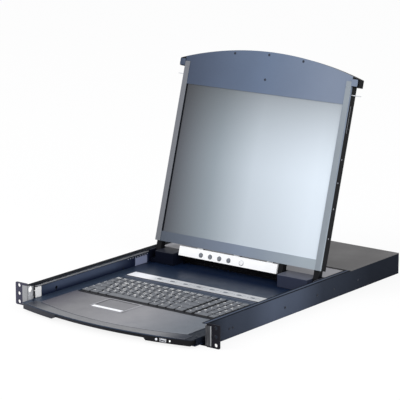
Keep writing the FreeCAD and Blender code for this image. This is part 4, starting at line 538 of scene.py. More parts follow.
def circuit_board(name, colour):
    """Solder mask with paler copper runs beneath it."""
    material, tree, shader = new_material(name, roughness=0.35)
    vector = place_vector(tree, (1.0, 1.0, 0.2))
    cells = add(tree, "ShaderNodeTexVoronoi", {"Vector": vector, "Scale": 260.0}, distance="MANHATTAN",
                feature="F1")
    runs = spread(tree, cells.outputs["Distance"], 0.42, 0.46, 0.0, 0.7)
    tree.links.new(blend_colours(tree, runs, colour, shade(colour, 2.2)), shader.inputs["Base Color"])
    grain_bump(tree, shader, vector, 700.0, 0.00003, 0.0002)
    return material


def lens(name, colour, strength):
    material, tree, shader = new_material(name, roughness=0.12)
    vector = place_vector(tree)
    tree.links.new(vary(tree, colour, vector, 300.0, 0.05), shader.inputs["Base Color"])
    shader.inputs["Emission Color"].default_value = (*colour, 1.0)
    shader.inputs["Emission Strength"].default_value = strength
    return material


# Piece helpers

def coat(nodes, material):
    """Gives CAD nodes a material without touching their meshes."""
    for node in nodes:
        slots = NODES[node].data.materials
        slots.clear()
        slots.append(material)


def finish_piece(piece, body, replaced=()):
    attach(piece, body)
    if replaced:
        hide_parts(*replaced)


def piece_from_mesh(name, mesh, material=None):
    piece = bpy.data.objects.new(name, mesh)
    bpy.context.scene.collection.objects.link(piece)
    if material is not None:
        mesh.materials.clear()
        mesh.materials.append(material)
    return piece


def loose_parts(node):
    """Lowest and highest corner of each separate solid of a node, from left to right."""
    shape = bmesh.new()
    shape.from_mesh(NODES[node].data)
    bmesh.ops.remove_doubles(shape, verts=shape.verts, dist=MERGE_DISTANCE)
    seen = set()
    parts = []
    for start in shape.verts:
        if start in seen:
            continue
        seen.add(start)
        stack = [start]
        corners = []
        while stack:
            vertex = stack.pop()
            corners.append(vertex.co.copy())
            for edge in vertex.link_edges:
                other = edge.other_vert(vertex)
                if other not in seen:
                    seen.add(other)
                    stack.append(other)
        low = Vector([min(corner[axis] for corner in corners) for axis in range(3)])
        high = Vector([max(corner[axis] for corner in corners) for axis in range(3)])
        parts.append((low, high))
    shape.free()
    return sorted(parts, key=lambda part: part[0].x)


def soften(nodes, width, material):
    """Stands copies of CAD nodes with softened edges in the nodes' places."""
    for node in nodes:
        shape = bmesh.new()
        shape.from_mesh(NODES[node].data)
        bmesh.ops.remove_doubles(shape, verts=shape.verts, dist=MERGE_DISTANCE)
        bmesh.ops.dissolve_limit(shape, angle_limit=math.radians(1.0), verts=shape.verts, edges=shape.edges)
        mesh = bpy.data.meshes.new(node + "_softened")
        shape.to_mesh(mesh)
        shape.free()
        piece = piece_from_mesh(node + "_softened", mesh, material)
        bevel = piece.modifiers.new("Edges", "BEVEL")
        bevel.width = width
        bevel.segments = 2
        bevel.limit_method = "ANGLE"
        bevel.angle_limit = math.radians(35.0)
        bevel.use_clamp_overlap = True
        bevel.harden_normals = True
        settled = bpy.data.meshes.new_from_object(piece.evaluated_get(bpy.context.evaluated_depsgraph_get()))
        piece.modifiers.clear()
        piece.data = settled
        finish_piece(piece, NODES[node]["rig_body"], (node,))


def ribbon(name, paths, width, height, normal, material):
    """Flat raised lines that follow paths on a surface."""
    shape = bmesh.new()
    for path in paths:
        rings = []
        for index, point in enumerate(path):
            before = path[max(index - 1, 0)]
            after = path[min(index + 1, len(path) - 1)]
            side = normal.cross(after - before).normalized() * (width / 2)
            lift = normal * height
            corners = (point - side, point + side, point + side + lift, point - side + lift)
            rings.append([shape.verts.new(corner) for corner in corners])
        for first, second in zip(rings, rings[1:]):
            for index in range(4):
                turn = (index + 1) % 4
                shape.faces.new((first[index], first[turn], second[turn], second[index]))
        shape.faces.new(rings[0])
        shape.faces.new(rings[-1])
    bmesh.ops.recalc_face_normals(shape, faces=shape.faces)
    mesh = bpy.data.meshes.new(name)
    shape.to_mesh(mesh)
    shape.free()
    return piece_from_mesh(name, mesh, material)


def on_display(across, up, out):
    return DISPLAY_PLACE @ Vector((across, up, out))


# Geometry Nodes helpers

def new_tree(name, inputs):
    tree = bpy.data.node_groups.new(name, "GeometryNodeTree")
    tree.interface.new_socket("Geometry", in_out="INPUT", socket_type="NodeSocketGeometry")
    for label, kind, default in inputs:
        socket = tree.interface.new_socket(label, in_out="INPUT", socket_type="NodeSocket" + kind)
        if default is not None:
            socket.default_value = default
    tree.interface.new_socket("Geometry", in_out="OUTPUT", socket_type="NodeSocketGeometry")
    return tree, tree.nodes.new("NodeGroupInput").outputs


def close_tree(tree, geometry, material):
    """Ends a tree in Realize Instances and Set Material."""
    real = add(tree, "GeometryNodeRealizeInstances", {"Geometry": geometry})
    dressed = add(tree, "GeometryNodeSetMaterial", {"Geometry": real.outputs[0], "Material": material})
    out = tree.nodes.new("NodeGroupOutput")
    tree.links.new(dressed.outputs[0], out.inputs[0])
    return tree


def grow(name, tree, points, values):
    """Runs a tree on a set of points and keeps the result as a plain mesh."""
    seed = bpy.data.meshes.new(name + "_points")
    seed.from_pydata([tuple(point) for point in points], [], [])
    carrier = bpy.data.objects.new(name, seed)
    modifier = carrier.modifiers.new("Grow", "NODES")
    modifier.node_group = tree
    sockets = {item.name: item.identifier for item in tree.interface.items_tree if item.in_out == "INPUT"}
    for label, value in values.items():
        modifier[sockets[label]] = value
    bpy.context.scene.collection.objects.link(carrier)
    mesh = bpy.data.meshes.new_from_object(carrier.evaluated_get(bpy.context.evaluated_depsgraph_get()))
    bpy.data.objects.remove(carrier)
    return mesh


def grow_piece(name, tree, points, values, body):
    finish_piece(piece_from_mesh(name, grow(name, tree, points, values)), body)


def joined(name, meshes, material):
    shape = bmesh.new()
    for mesh in meshes:
        shape.from_mesh(mesh)
    whole = bpy.data.meshes.new(name)
    shape.to_mesh(whole)
    shape.free()
    return piece_from_mesh(name, whole, material)


def smooth_by_angle(mesh, degrees):
    mesh.shade_smooth()
    mesh.set_sharp_from_angle(angle=math.radians(degrees))


def shift(tree, geometry, selection, offset):
    return add(tree, "GeometryNodeSetPosition", {"Geometry": geometry, "Selection": selection,
                                                 "Offset": offset}).outputs[0]


def set_on_points(tree, given, geometry):
    """Ends a tree with a shape on every point, turned to face a direction."""
    turn = add(tree, "FunctionNodeAlignRotationToVector", {"Vector": given["Direction"]}, axis="Z")
    shapes = add(tree, "GeometryNodeInstanceOnPoints", {"Points": given["Geometry"], "Instance": geometry,
                                                        "Rotation": turn.outputs[0]})
    return close_tree(tree, shapes.outputs[0], given["Material"])


def draw_in(tree, amount):
    """Offset that moves each point towards the middle, equally along both sides of a rectangle."""
    place = add(tree, "GeometryNodeInputPosition").outputs[0]
    sign = add(tree, "ShaderNodeVectorMath", {0: place}, operation="SIGN").outputs[0]
    flat = add(tree, "ShaderNodeVectorMath", {0: sign, 1: (-1.0, -1.0, 0.0)}, operation="MULTIPLY").outputs[0]
    return add(tree, "ShaderNodeVectorMath", {0: flat, "Scale": amount}, operation="SCALE").outputs[0]


def raise_top(tree, geometry, top, rise):
    """Draws up the top of a shape, or a whole flat outline where there is no top yet."""
    offset = add(tree, "ShaderNodeCombineXYZ", {"Z": rise}).outputs[0]
    inputs = {"Mesh": geometry, "Offset": offset, "Offset Scale": 1.0, "Individual": False}
    if top is not None:
        inputs["Selection"] = top
    extruded = add(tree, "GeometryNodeExtrudeMesh", inputs)
    return extruded.outputs["Mesh"], extruded.outputs["Top"]


def key_cap_tree():
    """Dished key cap with a drawn-in shoulder, set on every point."""
    tree, given = new_tree("Key caps", [
        ("Width", "Float", 0.0157), ("Depth", "Float", 0.0185), ("Height", "Float", 0.0064),
        ("Shoulder", "Float", 0.0014), ("Edge", "Float", 0.0005), ("Corner", "Float", 0.0012),
        ("Dish", "Float", 0.0004), ("Material", "Material", None),
    ])
    outline = add(tree, "GeometryNodeCurvePrimitiveQuadrilateral",
                  {"Width": given["Width"], "Height": given["Depth"]})
    corners = add(tree, "GeometryNodeFilletCurve", {"Curve": outline.outputs[0], "Count": 2,
                                                    "Radius": given["Corner"]}, mode="POLY")
    geometry = add(tree, "GeometryNodeFillCurve", {"Curve": corners.outputs[0]}, mode="NGONS").outputs[0]
    top = None
    wall = arithmetic(tree, "SUBTRACT", given["Height"], given["Edge"])
    half_edge = arithmetic(tree, "MULTIPLY", given["Edge"], 0.5)
    half_dish = arithmetic(tree, "MULTIPLY", given["Dish"], -0.5)
    small_in = arithmetic(tree, "MULTIPLY", given["Edge"], 0.3)
    wide_in = arithmetic(tree, "MULTIPLY", given["Edge"], 0.8)
    dish_in = arithmetic(tree, "MULTIPLY", given["Shoulder"], 1.1)
    steps = ((wall, given["Shoulder"]), (half_edge, small_in), (half_edge, wide_in),
             (half_dish, dish_in), (half_dish, dish_in))
    for rise, inset in steps:
        geometry, top = raise_top(tree, geometry, top, rise)
        geometry = shift(tree, geometry, top, draw_in(tree, inset))
    caps = add(tree, "GeometryNodeInstanceOnPoints", {"Points": given["Geometry"], "Instance": geometry})
    return close_tree(tree, caps.outputs[0], given["Material"])


def legend_tree(name, labels):
    """Flat letters, each at its own place."""
    tree, given = new_tree(name, [("Size", "Float", 0.004), ("Material", "Material", None)])
    gather = tree.nodes.new("GeometryNodeJoinGeometry")
    for text, place in labels:
        letters = add(tree, "GeometryNodeStringToCurves", {"String": text, "Size": given["Size"]})
        filled = add(tree, "GeometryNodeFillCurve", {"Curve": add(
            tree, "GeometryNodeRealizeInstances", {"Geometry": letters.outputs[0]}).outputs[0]})
        moved = add(tree, "GeometryNodeTransform", {"Geometry": filled.outputs[0], "Translation": place})
        tree.links.new(moved.outputs[0], gather.inputs[0])
    return close_tree(tree, gather.outputs[0], given["Material"])


def screw_head_tree():
    """Low domed head with a cross recess, turned to face a direction, set on every point."""
    tree, given = new_tree("Screw heads", [
        ("Radius", "Float", 0.0026), ("Rise", "Float", 0.0009), ("Sides", "Int", 24),
        ("Recess width", "Float", 0.0007), ("Recess length", "Float", 0.0032),
        ("Direction", "Vector", (0.0, 0.0, 1.0)), ("Material", "Material", None),
    ])
    geometry = add(tree, "GeometryNodeMeshCircle", {"Vertices": given["Sides"], "Radius": given["Radius"]},
                   fill_type="NGON").outputs[0]
    top = None
    for share, size in ((0.45, 1.0), (0.35, 0.88), (0.20, 0.62)):
        lift = arithmetic(tree, "MULTIPLY", given["Rise"], share)
        geometry, top = raise_top(tree, geometry, top, lift)
        geometry = add(tree, "GeometryNodeScaleElements", {"Geometry": geometry, "Selection": top,
                                                           "Scale": size}, domain="FACE").outputs[0]
    deep = arithmetic(tree, "MULTIPLY", given["Rise"], 1.2)
    tools = tree.nodes.new("GeometryNodeJoinGeometry")
    for along, wide in (("Recess length", "Recess width"), ("Recess width", "Recess length")):
        size = add(tree, "ShaderNodeCombineXYZ", {"X": given[along], "Y": given[wide], "Z": deep}).outputs[0]
        arm = add(tree, "GeometryNodeMeshCube", {"Size": size}).outputs[0]
        lift = add(tree, "ShaderNodeCombineXYZ", {"Z": given["Rise"]}).outputs[0]
        raised = add(tree, "GeometryNodeTransform", {"Geometry": arm, "Translation": lift})
        tree.links.new(raised.outputs[0], tools.inputs[0])
    cut = add(tree, "GeometryNodeMeshBoolean", {"Mesh 1": geometry, "Mesh 2": tools.outputs[0],
                                                "Self Intersection": True}, operation="DIFFERENCE",
              solver="EXACT")
    return set_on_points(tree, given, cut.outputs[0])


def disc_tree():
    """Thin round disc turned to face a direction, set on every point."""
    tree, given = new_tree("Discs", [
        ("Radius", "Float", 0.0005), ("Thickness", "Float", 0.0001), ("Sides", "Int", 12),
        ("Direction", "Vector", (0.0, 1.0, 0.0)), ("Material", "Material", None),
    ])
    disc = add(tree, "GeometryNodeMeshCylinder", {"Vertices": given["Sides"], "Radius": given["Radius"],
                                                  "Depth": given["Thickness"]})
    return set_on_points(tree, given, disc.outputs[0])


def ring_tree():
    """Thin round ring turned to face a direction, set on every point."""
    tree, given = new_tree("Rings", [
        ("Radius", "Float", 0.004), ("Wire", "Float", 0.0003), ("Sides", "Int", 32),
        ("Direction", "Vector", (0.0, 0.0, 1.0)), ("Material", "Material", None),
    ])
    circle = add(tree, "GeometryNodeCurvePrimitiveCircle", {"Resolution": given["Sides"],
                                                            "Radius": given["Radius"]})
    profile = add(tree, "GeometryNodeCurvePrimitiveCircle", {"Resolution": 6, "Radius": given["Wire"]})
    ring = add(tree, "GeometryNodeCurveToMesh", {"Curve": circle.outputs[0],
                                                 "Profile Curve": profile.outputs[0]})
    return set_on_points(tree, given, ring.outputs[0])


# Operators, one for each group of pieces

class CONSOLE_OT_chassis(bpy.types.Operator):
    """Coat the chassis, its covers and its ears"""
    bl_idname = "console.chassis"
    bl_label = "Chassis"

    def execute(self, context):
        colours = context.scene.console_colours
        chassis = tuple(colours.chassis)
        deck = tuple(colours.rear_deck)
        ears = tuple(colours.ears)
        # Chassis coat with painted sheen and shade along the walls, and a painted highlight line on the right
        # flange
        coat(["chassis_pan", "rear_panel"], painted("Chassis coat", chassis, roughness=0.6, specular=0.015,
                                                    wear=0.05, cast=chassis_sheen_and_shade_cast(chassis)))
        coat(["rear_top_cover"], painted("Rear cover coat", tuple(colours.rear_cover), roughness=0.5))
        # Rear deck with a painted shadow on its front face, under the display
        coat(["rear_deck"], painted("Rear deck coat", deck, roughness=0.5, specular=0.06, wear=0.15,
                                    cast=front_face_shadow_cast("rear_deck", deck)))
        # Painted light: the left ear much lighter than the right one, which stays in painted shade
        tones = [(0.0, shade(ears, 7.0)), (0.4, ears), (1.0, ears)]
        coat(["rack_ear_left", "rack_ear_right"],
             painted("Ear coat", ears, roughness=0.38, specular=0.08,
                     cast=across_cast(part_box("rack_ear_right")[1].x, tones)))
        coat(["power_supply"], plated("Supply case", tuple(colours.zinc), roughness=0.4))
        return {"FINISHED"}


class CONSOLE_OT_slides(bpy.types.Operator):
    """Plate the telescopic slides, their ball cages and the brackets in front of them"""
    bl_idname = "console.slides"
    bl_label = "Slides"

    def execute(self, context):
        colours = context.scene.console_colours
        zinc = tuple(colours.zinc)
        coat(["slide_outer_members", "slide_middle_members"], plated("Slide zinc", zinc))
        # Inner slide zinc with a painted highlight at its front ends
        coat(["slide_inner_members"], plated("Inner slide zinc", zinc, metallic=0.1, cast=nose_highlight_cast(zinc)))
        # Bracket zinc darkened overall, with painted shade on its flanges, its rear strip and the right-hand
        # bracket
        coat(["slide_brackets"], plated("Bracket zinc", zinc, streaks=(1.0, 1.0, 0.02), metallic=0.1,
                                        cast=bracket_shade_cast(shade(zinc, 0.78))))
        coat(["outer_ball_cages", "inner_ball_cages"], plated("Cage zinc", shade(zinc, 0.85), 0.35))
        self.nose_plates()
        return {"FINISHED"}

    def nose_plates(self):
        """Plates in pure white, a painted highlight, on the front ends of the inner slide members, in front
        of the tray's walls.
        """
        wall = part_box("drawer_tray")[1]
        thickness = 0.0006
        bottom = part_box("palm_rest")[0].z + thickness
        below_wall = 0.0002
        top = wall.z - below_wall
        ahead, length = 0.0028, 0.0166
        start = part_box("slide_inner_members")[0].y - ahead
        white = plated("Nose plate highlight", srgb(255, 255, 255), roughness=0.35, metallic=0.0)
        for side, label in ((-1.0, "slide_nose_plate_left"), (1.0, "slide_nose_plate_right")):
            line = [Vector((side * wall.x, y, (bottom + top) / 2)) for y in (start, start + length)]
            plate = ribbon(label, [line], top - bottom, thickness, RIGHT * -side, white)
            finish_piece(plate, "drawer")


class CONSOLE_OT_drawer(bpy.types.Operator):
    """Coat the drawer tray, deck, palm rest, front band and front grip"""
    bl_idname = "console.drawer"
    bl_label = "Drawer"

    def execute(self, context):
        colours = context.scene.console_colours
        deck = tuple(colours.deck)
        palm = tuple(colours.palm)
        # Tray coat with painted light on the upper walls and painted shade towards the hinge boxes
        coat(["drawer_tray"], painted("Tray coat", tuple(colours.tray), roughness=0.4, wear=0.12,
                                      cast=tray_light_and_shade_cast(tuple(colours.tray))))
        # Keyboard deck with painted shade under the screen and at its front right
        coat(["keyboard_deck"], painted("Deck coat", deck, roughness=0.34, wear=0.2, cast=deck_shade_cast(deck)))
        # Palm rest with painted shade towards both ends, a painted sheen past its middle, and a painted
        # highlight along its edges
        tones = [(0.0, srgb(80, 79, 88)), (0.2, srgb(113, 113, 117)), (0.56, palm),
                 (0.92, srgb(102, 107, 115))]
        rest = moulded("Palm rest moulding", palm, roughness=0.46, edges=0.5,
                       cast=across_cast(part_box("palm_rest")[1].x, tones))
        soften(["palm_rest"], 0.0003, rest)
        soften(["touchpad"], 0.0002, moulded("Touchpad film", shade(palm, 0.8), roughness=0.5, grain=0.00002))
        # Front band with a painted reflection in its middle, fading to navy at both ends, and a painted
        # highlight along its edges
        even_half, dark_half = 0.120, 0.184
        band = band_reflection_cast(srgb(112, 113, 117), srgb(36, 41, 53), even_half, dark_half)
        soften(["front_trim"], 0.0003, moulded("Front band moulding", palm, 0.42, edges=0.4, cast=band))
        grip = tuple(colours.grip)
        # Painted light at the grip's left end and painted shade towards its right end
        tones = [(0.0, shade(grip, 1.9)), (0.5, grip), (0.8, shade(grip, 0.3)), (1.0, shade(grip, 0.25))]
        soften(["front_grip"], 0.0008,
               moulded("Front grip moulding", grip, roughness=0.6, grain=0.00012, grain_scale=1100.0,
                       specular=0.1, cast=across_cast(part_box("front_grip")[1].x, tones)))
        silver = moulded("Touchpad button", srgb(238, 240, 246), roughness=0.3)
        soften(["touchpad_button_left", "touchpad_button_right"], 0.0003, silver)
        film = tuple(colours.port_strip)
        low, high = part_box("port_strip")
        bare = srgb(239, 240, 245)
        tones = [(0.0, bare), (0.13, bare), (0.2, film), (0.5, shade(film, 0.76)), (1.0, shade(film, 0.8))]
        coat(["port_strip"], moulded("Port strip film", film, roughness=0.38, grain=0.00002,
                                     cast=across_cast(high.x, tones)))
        coat(["port_buttons"], moulded("Port buttons", tuple(colours.buttons), roughness=0.4))
        coat(["drawer_boards", "switch_board"], circuit_board("Circuit board", tuple(colours.board)))
        self.outline_touchpad()
        self.outline_palm_rest()
        self.mark_ports(low, high)
        self.dress_tray_wall()
        return {"FINISHED"}

    def outline_touchpad(self):
        """Dark lines of painted shadow behind and beside the touchpad, where its recess walls lie in shade,
        and a paler rim of painted highlight about them.
        """
        low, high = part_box("touchpad")
        top = high.z + SKIN
        shadow_line_width, highlight_line_width, height = 0.0019, 0.0016, 0.0003
        front_inset = 0.001
        # Painted shadow along the back and left of the touchpad's recess
        dark = moulded("Touchpad painted shadow", srgb(38, 37, 44), roughness=0.6)
        corners = ((low.x, low.y + front_inset), (low.x, high.y), (high.x, high.y))
        line = [Vector((x, y, top)) for x, y in corners]
        finish_piece(ribbon("touchpad_shadow_lines", [line], shadow_line_width, height, UP, dark), "drawer")
        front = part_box("touchpad_button_left")[0].y
        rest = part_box("palm_rest")[1].z
        out = 0.0035
        # Painted highlight along the edge of the surround
        pale = moulded("Touchpad painted highlight", srgb(170, 171, 177), roughness=0.4)
        left, right, back = low.x - out, high.x + out, high.y + out
        rim = [Vector((x, y, rest)) for x, y in ((left, front), (left, back), (right, back), (right, front))]
        finish_piece(ribbon("touchpad_highlight_rim", [rim], highlight_line_width, height, UP, pale), "drawer")

    def outline_palm_rest(self):
        """Dark seam where the palm rest meets the keys."""
        low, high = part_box("palm_rest")
        width, height = 0.0045, 0.0002
        side_inset, back_inset = 0.006, 0.0002
        back = high.y - width / 2 - back_inset
        seam = [Vector((x, back, high.z)) for x in (low.x + side_inset, high.x - side_inset)]
        dark = moulded("Palm rest seam", srgb(16, 18, 28), roughness=0.6)
        finish_piece(ribbon("palm_rest_seam", [seam], width, height, UP, dark), "drawer")

    def dress_tray_wall(self):
        """Bare pale plate, a stop screw and a row of bright rivets along the left wall of the tray."""
        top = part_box("drawer_tray")[1].z
        inner = self.wall_face()
        pale = moulded("Bare plate film", srgb(140, 148, 176), roughness=0.4, grain=0.00001)
        plate_ends = (0.307, 0.3445)
        plate_height, plate_drop, thickness = 0.0165, 0.0045, 0.0002
        middle = top - plate_drop - plate_height / 2
        line = [Vector((inner, y, middle)) for y in plate_ends]
        plate = ribbon("bare_plate", [line], plate_height, thickness, RIGHT, pale)
        finish_piece(plate, "drawer")
        bright = plated("Tray rivet zinc", srgb(200, 204, 212), roughness=0.3, metallic=0.2)
        first, pitch, count, drop = 0.285, 0.0075, 11, 0.0022
        spots = [(inner + SKIN, first + pitch * step, top - drop) for step in range(count)]
        values = {"Radius": 0.0010, "Thickness": 0.0004, "Direction": RIGHT, "Material": bright}
        grow_piece("tray_rivets", disc_tree(), spots, values, "drawer")
        dark = steel("Tray screw steel", srgb(30, 32, 40))
        values = {"Radius": 0.0030, "Rise": 0.0004, "Sides": 24, "Recess width": 0.0007,
                  "Recess length": 0.0034, "Direction": RIGHT, "Material": dark}
        seat = (inner, 0.070, 0.0020)
        grow_piece("tray_screw", screw_head_tree(), [seat], values, "drawer")

    def wall_face(self):
        """Where the inner face of the tray's left wall stands."""
        low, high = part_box("drawer_tray")
        flange, tolerance = 0.02, 0.0003
        places = [vertex.co for vertex in NODES["drawer_tray"].data.vertices]
        return max(place.x for place in places
                   if place.x < low.x + flange and abs(place.z - high.z) < tolerance)

    def mark_ports(self, low, high):
        """Plain numbers and short lines beside the port buttons, and a seat and a ledge before the strip."""
        ink = moulded("Strip print", srgb(74, 80, 92), roughness=0.5)
        top = high.z
        before, after = 0.0075, 0.002
        number_size = 0.0055
        long_line, short_line, line_width = 0.009, 0.005, 0.0008
        labels = []
        lines = []
        for number, (start, end) in enumerate(loose_parts("port_buttons")):
            labels.append((str(number + 1), (start.x - before, start.y, top + SKIN)))
            for y, length in ((end.y, long_line), (start.y, short_line)):
                x = end.x + after
                lines.append([Vector((x, y, top)), Vector((x + length, y, top))])
        grow_piece("port_numbers", legend_tree("Port numbers", labels), [(0, 0, 0)],
                   {"Size": number_size, "Material": ink}, "drawer")
        finish_piece(ribbon("port_lines", lines, line_width, SKIN, UP, ink), "drawer")
        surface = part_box("keyboard_deck")[1].z
        for label, finish, colour, ahead, z, width, height in (
                ("port_strip_seat", "Strip seat", srgb(8, 10, 18), 0.0008, low.z, 0.0012, 0.0006),
                ("deck_ledge", "Deck ledge", srgb(78, 84, 99), 0.0060, surface, 0.0070, 0.0004)):
            line = [Vector((x, low.y - ahead, z)) for x in (low.x, high.x)]
            coated = painted(finish, colour, specular=0.05)
            finish_piece(ribbon(label, [line], width, height, UP, coated), "drawer")


class CONSOLE_OT_front_fittings(bpy.types.Operator):
    """Finish the socket, button and lamp in the front grip"""
    bl_idname = "console.front_fittings"
    bl_label = "Front fittings"

    def execute(self, context):
        colours = context.scene.console_colours
        coat(["usb_port"], plated("Socket shell", tuple(colours.zinc), roughness=0.25, metallic=0.3))
        coat(["reset_button"], moulded("Reset button", srgb(214, 216, 222), roughness=0.28))
        coat(["status_light"], lens("Status lamp", srgb(236, 240, 238), 0.5))
        return {"FINISHED"}


# Generic letters and signs of the keys, from left to right
ROW_LABELS = {
    "function_keys": "Esc F1 F2 F3 F4 F5 F6 F7 F8 F9 F10 F11 F12 - - = / * - +".split(),
    "number_keys": "` 1 2 3 4 5 6 7 8 9 0 - = < ^ 7 8 9 /".split(),
    "upper_letter_keys": "| Q W E R T Y U I O P [ ] / v 4 5 6 *".split(),
    "home_letter_keys": "| A S D F G H J K L ; ' < ^ 1 2 3 -".split(),
    "lower_letter_keys": "^ Z X C V B N M , . / ^ v 0 . = +".split(),
    "bottom_keys": "| o ^ ^ o = | < 0 . >".split(),
}
SECOND_LABELS = {
    "function_keys": ["-"] * 15,
    "number_keys": "~ ! @ # $ % ^ & * ( ) _ +".split(),
    "upper_letter_keys": "- o - = o - = - o - { } - - - - - -".split(),
    "home_letter_keys": "- - = o - = - o - - : \" - - - - - -".split(),
    "lower_letter_keys": "- o - = - o - = < > ? - - - - -".split(),
}


class CONSOLE_OT_keys(bpy.types.Operator):
    """Set dished key caps with plain letters on every key of the keyboard"""
    bl_idname = "console.keys"
    bl_label = "Keys"

    def execute(self, context):
        sizes = context.scene.console_keys
        colour = tuple(context.scene.console_colours.keys)
        # Painted shade: caps near black below their top part, where the gaps between keys lie in shade; and a
        # painted highlight along their edges
        skirt_top = 0.0011
        limit = min(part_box(row)[1].z for row in ROW_LABELS) - skirt_top

        def skirt_shadow_cast(tree, vector):
            return blend_colours(tree, short_of(tree, vector, "Z", limit), colour, shade(colour, 0.12))
        cap = moulded("Key moulding", colour, roughness=0.5, grain=0.00003, edges=0.35, cast=skirt_shadow_cast)
        print_ink = moulded("Key print", tuple(context.scene.console_colours.legends), roughness=0.5,
                            grain=0.00001)
        tree = key_cap_tree()
        for row in list(ROW_LABELS) + ["space_bar"]:
            self.set_caps(row, tree, sizes, cap)
            if row in ROW_LABELS:
                self.print_labels(row, sizes, print_ink)
        return {"FINISHED"}

    def set_caps(self, row, tree, sizes, material):
        groups = {}
        for low, high in loose_parts(row):
            width = round(high.x - low.x, 5)
            depth = round(high.y - low.y, 5)
            place = ((low.x + high.x) / 2, (low.y + high.y) / 2, high.z - sizes.height)
            groups.setdefault((width, depth), []).append(place)
        meshes = []
        for (width, depth), places in sorted(groups.items()):
            values = {"Width": width, "Depth": depth, "Height": sizes.height, "Shoulder": sizes.shoulder,
                      "Edge": sizes.edge, "Corner": sizes.corner, "Dish": sizes.dish, "Material": material}
            meshes.append(grow(row + "_caps", tree, places, values))
        piece = joined(row + "_caps", meshes, material)
        smooth_by_angle(piece.data, 38.0)
        finish_piece(piece, row, (row,))

    def print_labels(self, row, sizes, material):
        """A letter or sign at the back left of every cap, and a sign at the front of some."""
        labels = []
        first = ROW_LABELS[row]
        second = SECOND_LABELS.get(row, [])
        letter_share, dish_share = 0.8, 0.35
        drop = sizes.legend_back + sizes.legend * letter_share
        aside = 0.0006
        for index, (low, high) in enumerate(loose_parts(row)):
            top = high.z + SKIN - sizes.dish * dish_share
            text = first[index] if index < len(first) else "-"
            labels.append((text, (low.x + sizes.legend_left, high.y - drop, top)))
            if index < len(second):
                place = ((low.x + high.x) / 2 + aside, low.y + sizes.legend_back, top)
                labels.append((second[index], place))
        grow_piece(row + "_letters", legend_tree(row + " letters", labels), [(0, 0, 0)],
                   {"Size": sizes.legend, "Material": material}, row)


class CONSOLE_OT_hinges(bpy.types.Operator):
    """Finish the hinge boxes and the leaves that carry the display"""
    bl_idname = "console.hinges"
    bl_label = "Hinges"

    def execute(self, context):
        colours = context.scene.console_colours
        coat(["hinge_leaves"], painted("Hinge coat", tuple(colours.back), roughness=0.36, specular=0.1))
        dark = srgb(15, 18, 30)
        coat(["hinge_box_left", "hinge_box_right"],
             painted("Hinge box coat", dark, roughness=0.4, specular=0.03, wear=0.2,
                     cast=self.box_light_and_shade_cast(dark)))
        return {"FINISHED"}

    def box_light_and_shade_cast(self, dark):
        """Dark boxes with painted light: paler tops, and the right-hand one lighter than the other."""
        crown = 0.0009
        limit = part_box("hinge_box_right")[1].z - crown

        def cast(tree, vector):
            right = beyond(tree, vector, "X", 0.0)
            top = blend_colours(tree, right, srgb(40, 42, 50), srgb(84, 87, 99))
            sides = blend_colours(tree, right, dark, srgb(50, 55, 72))
            return blend_colours(tree, beyond(tree, vector, "Z", limit), sides, top)
        return cast


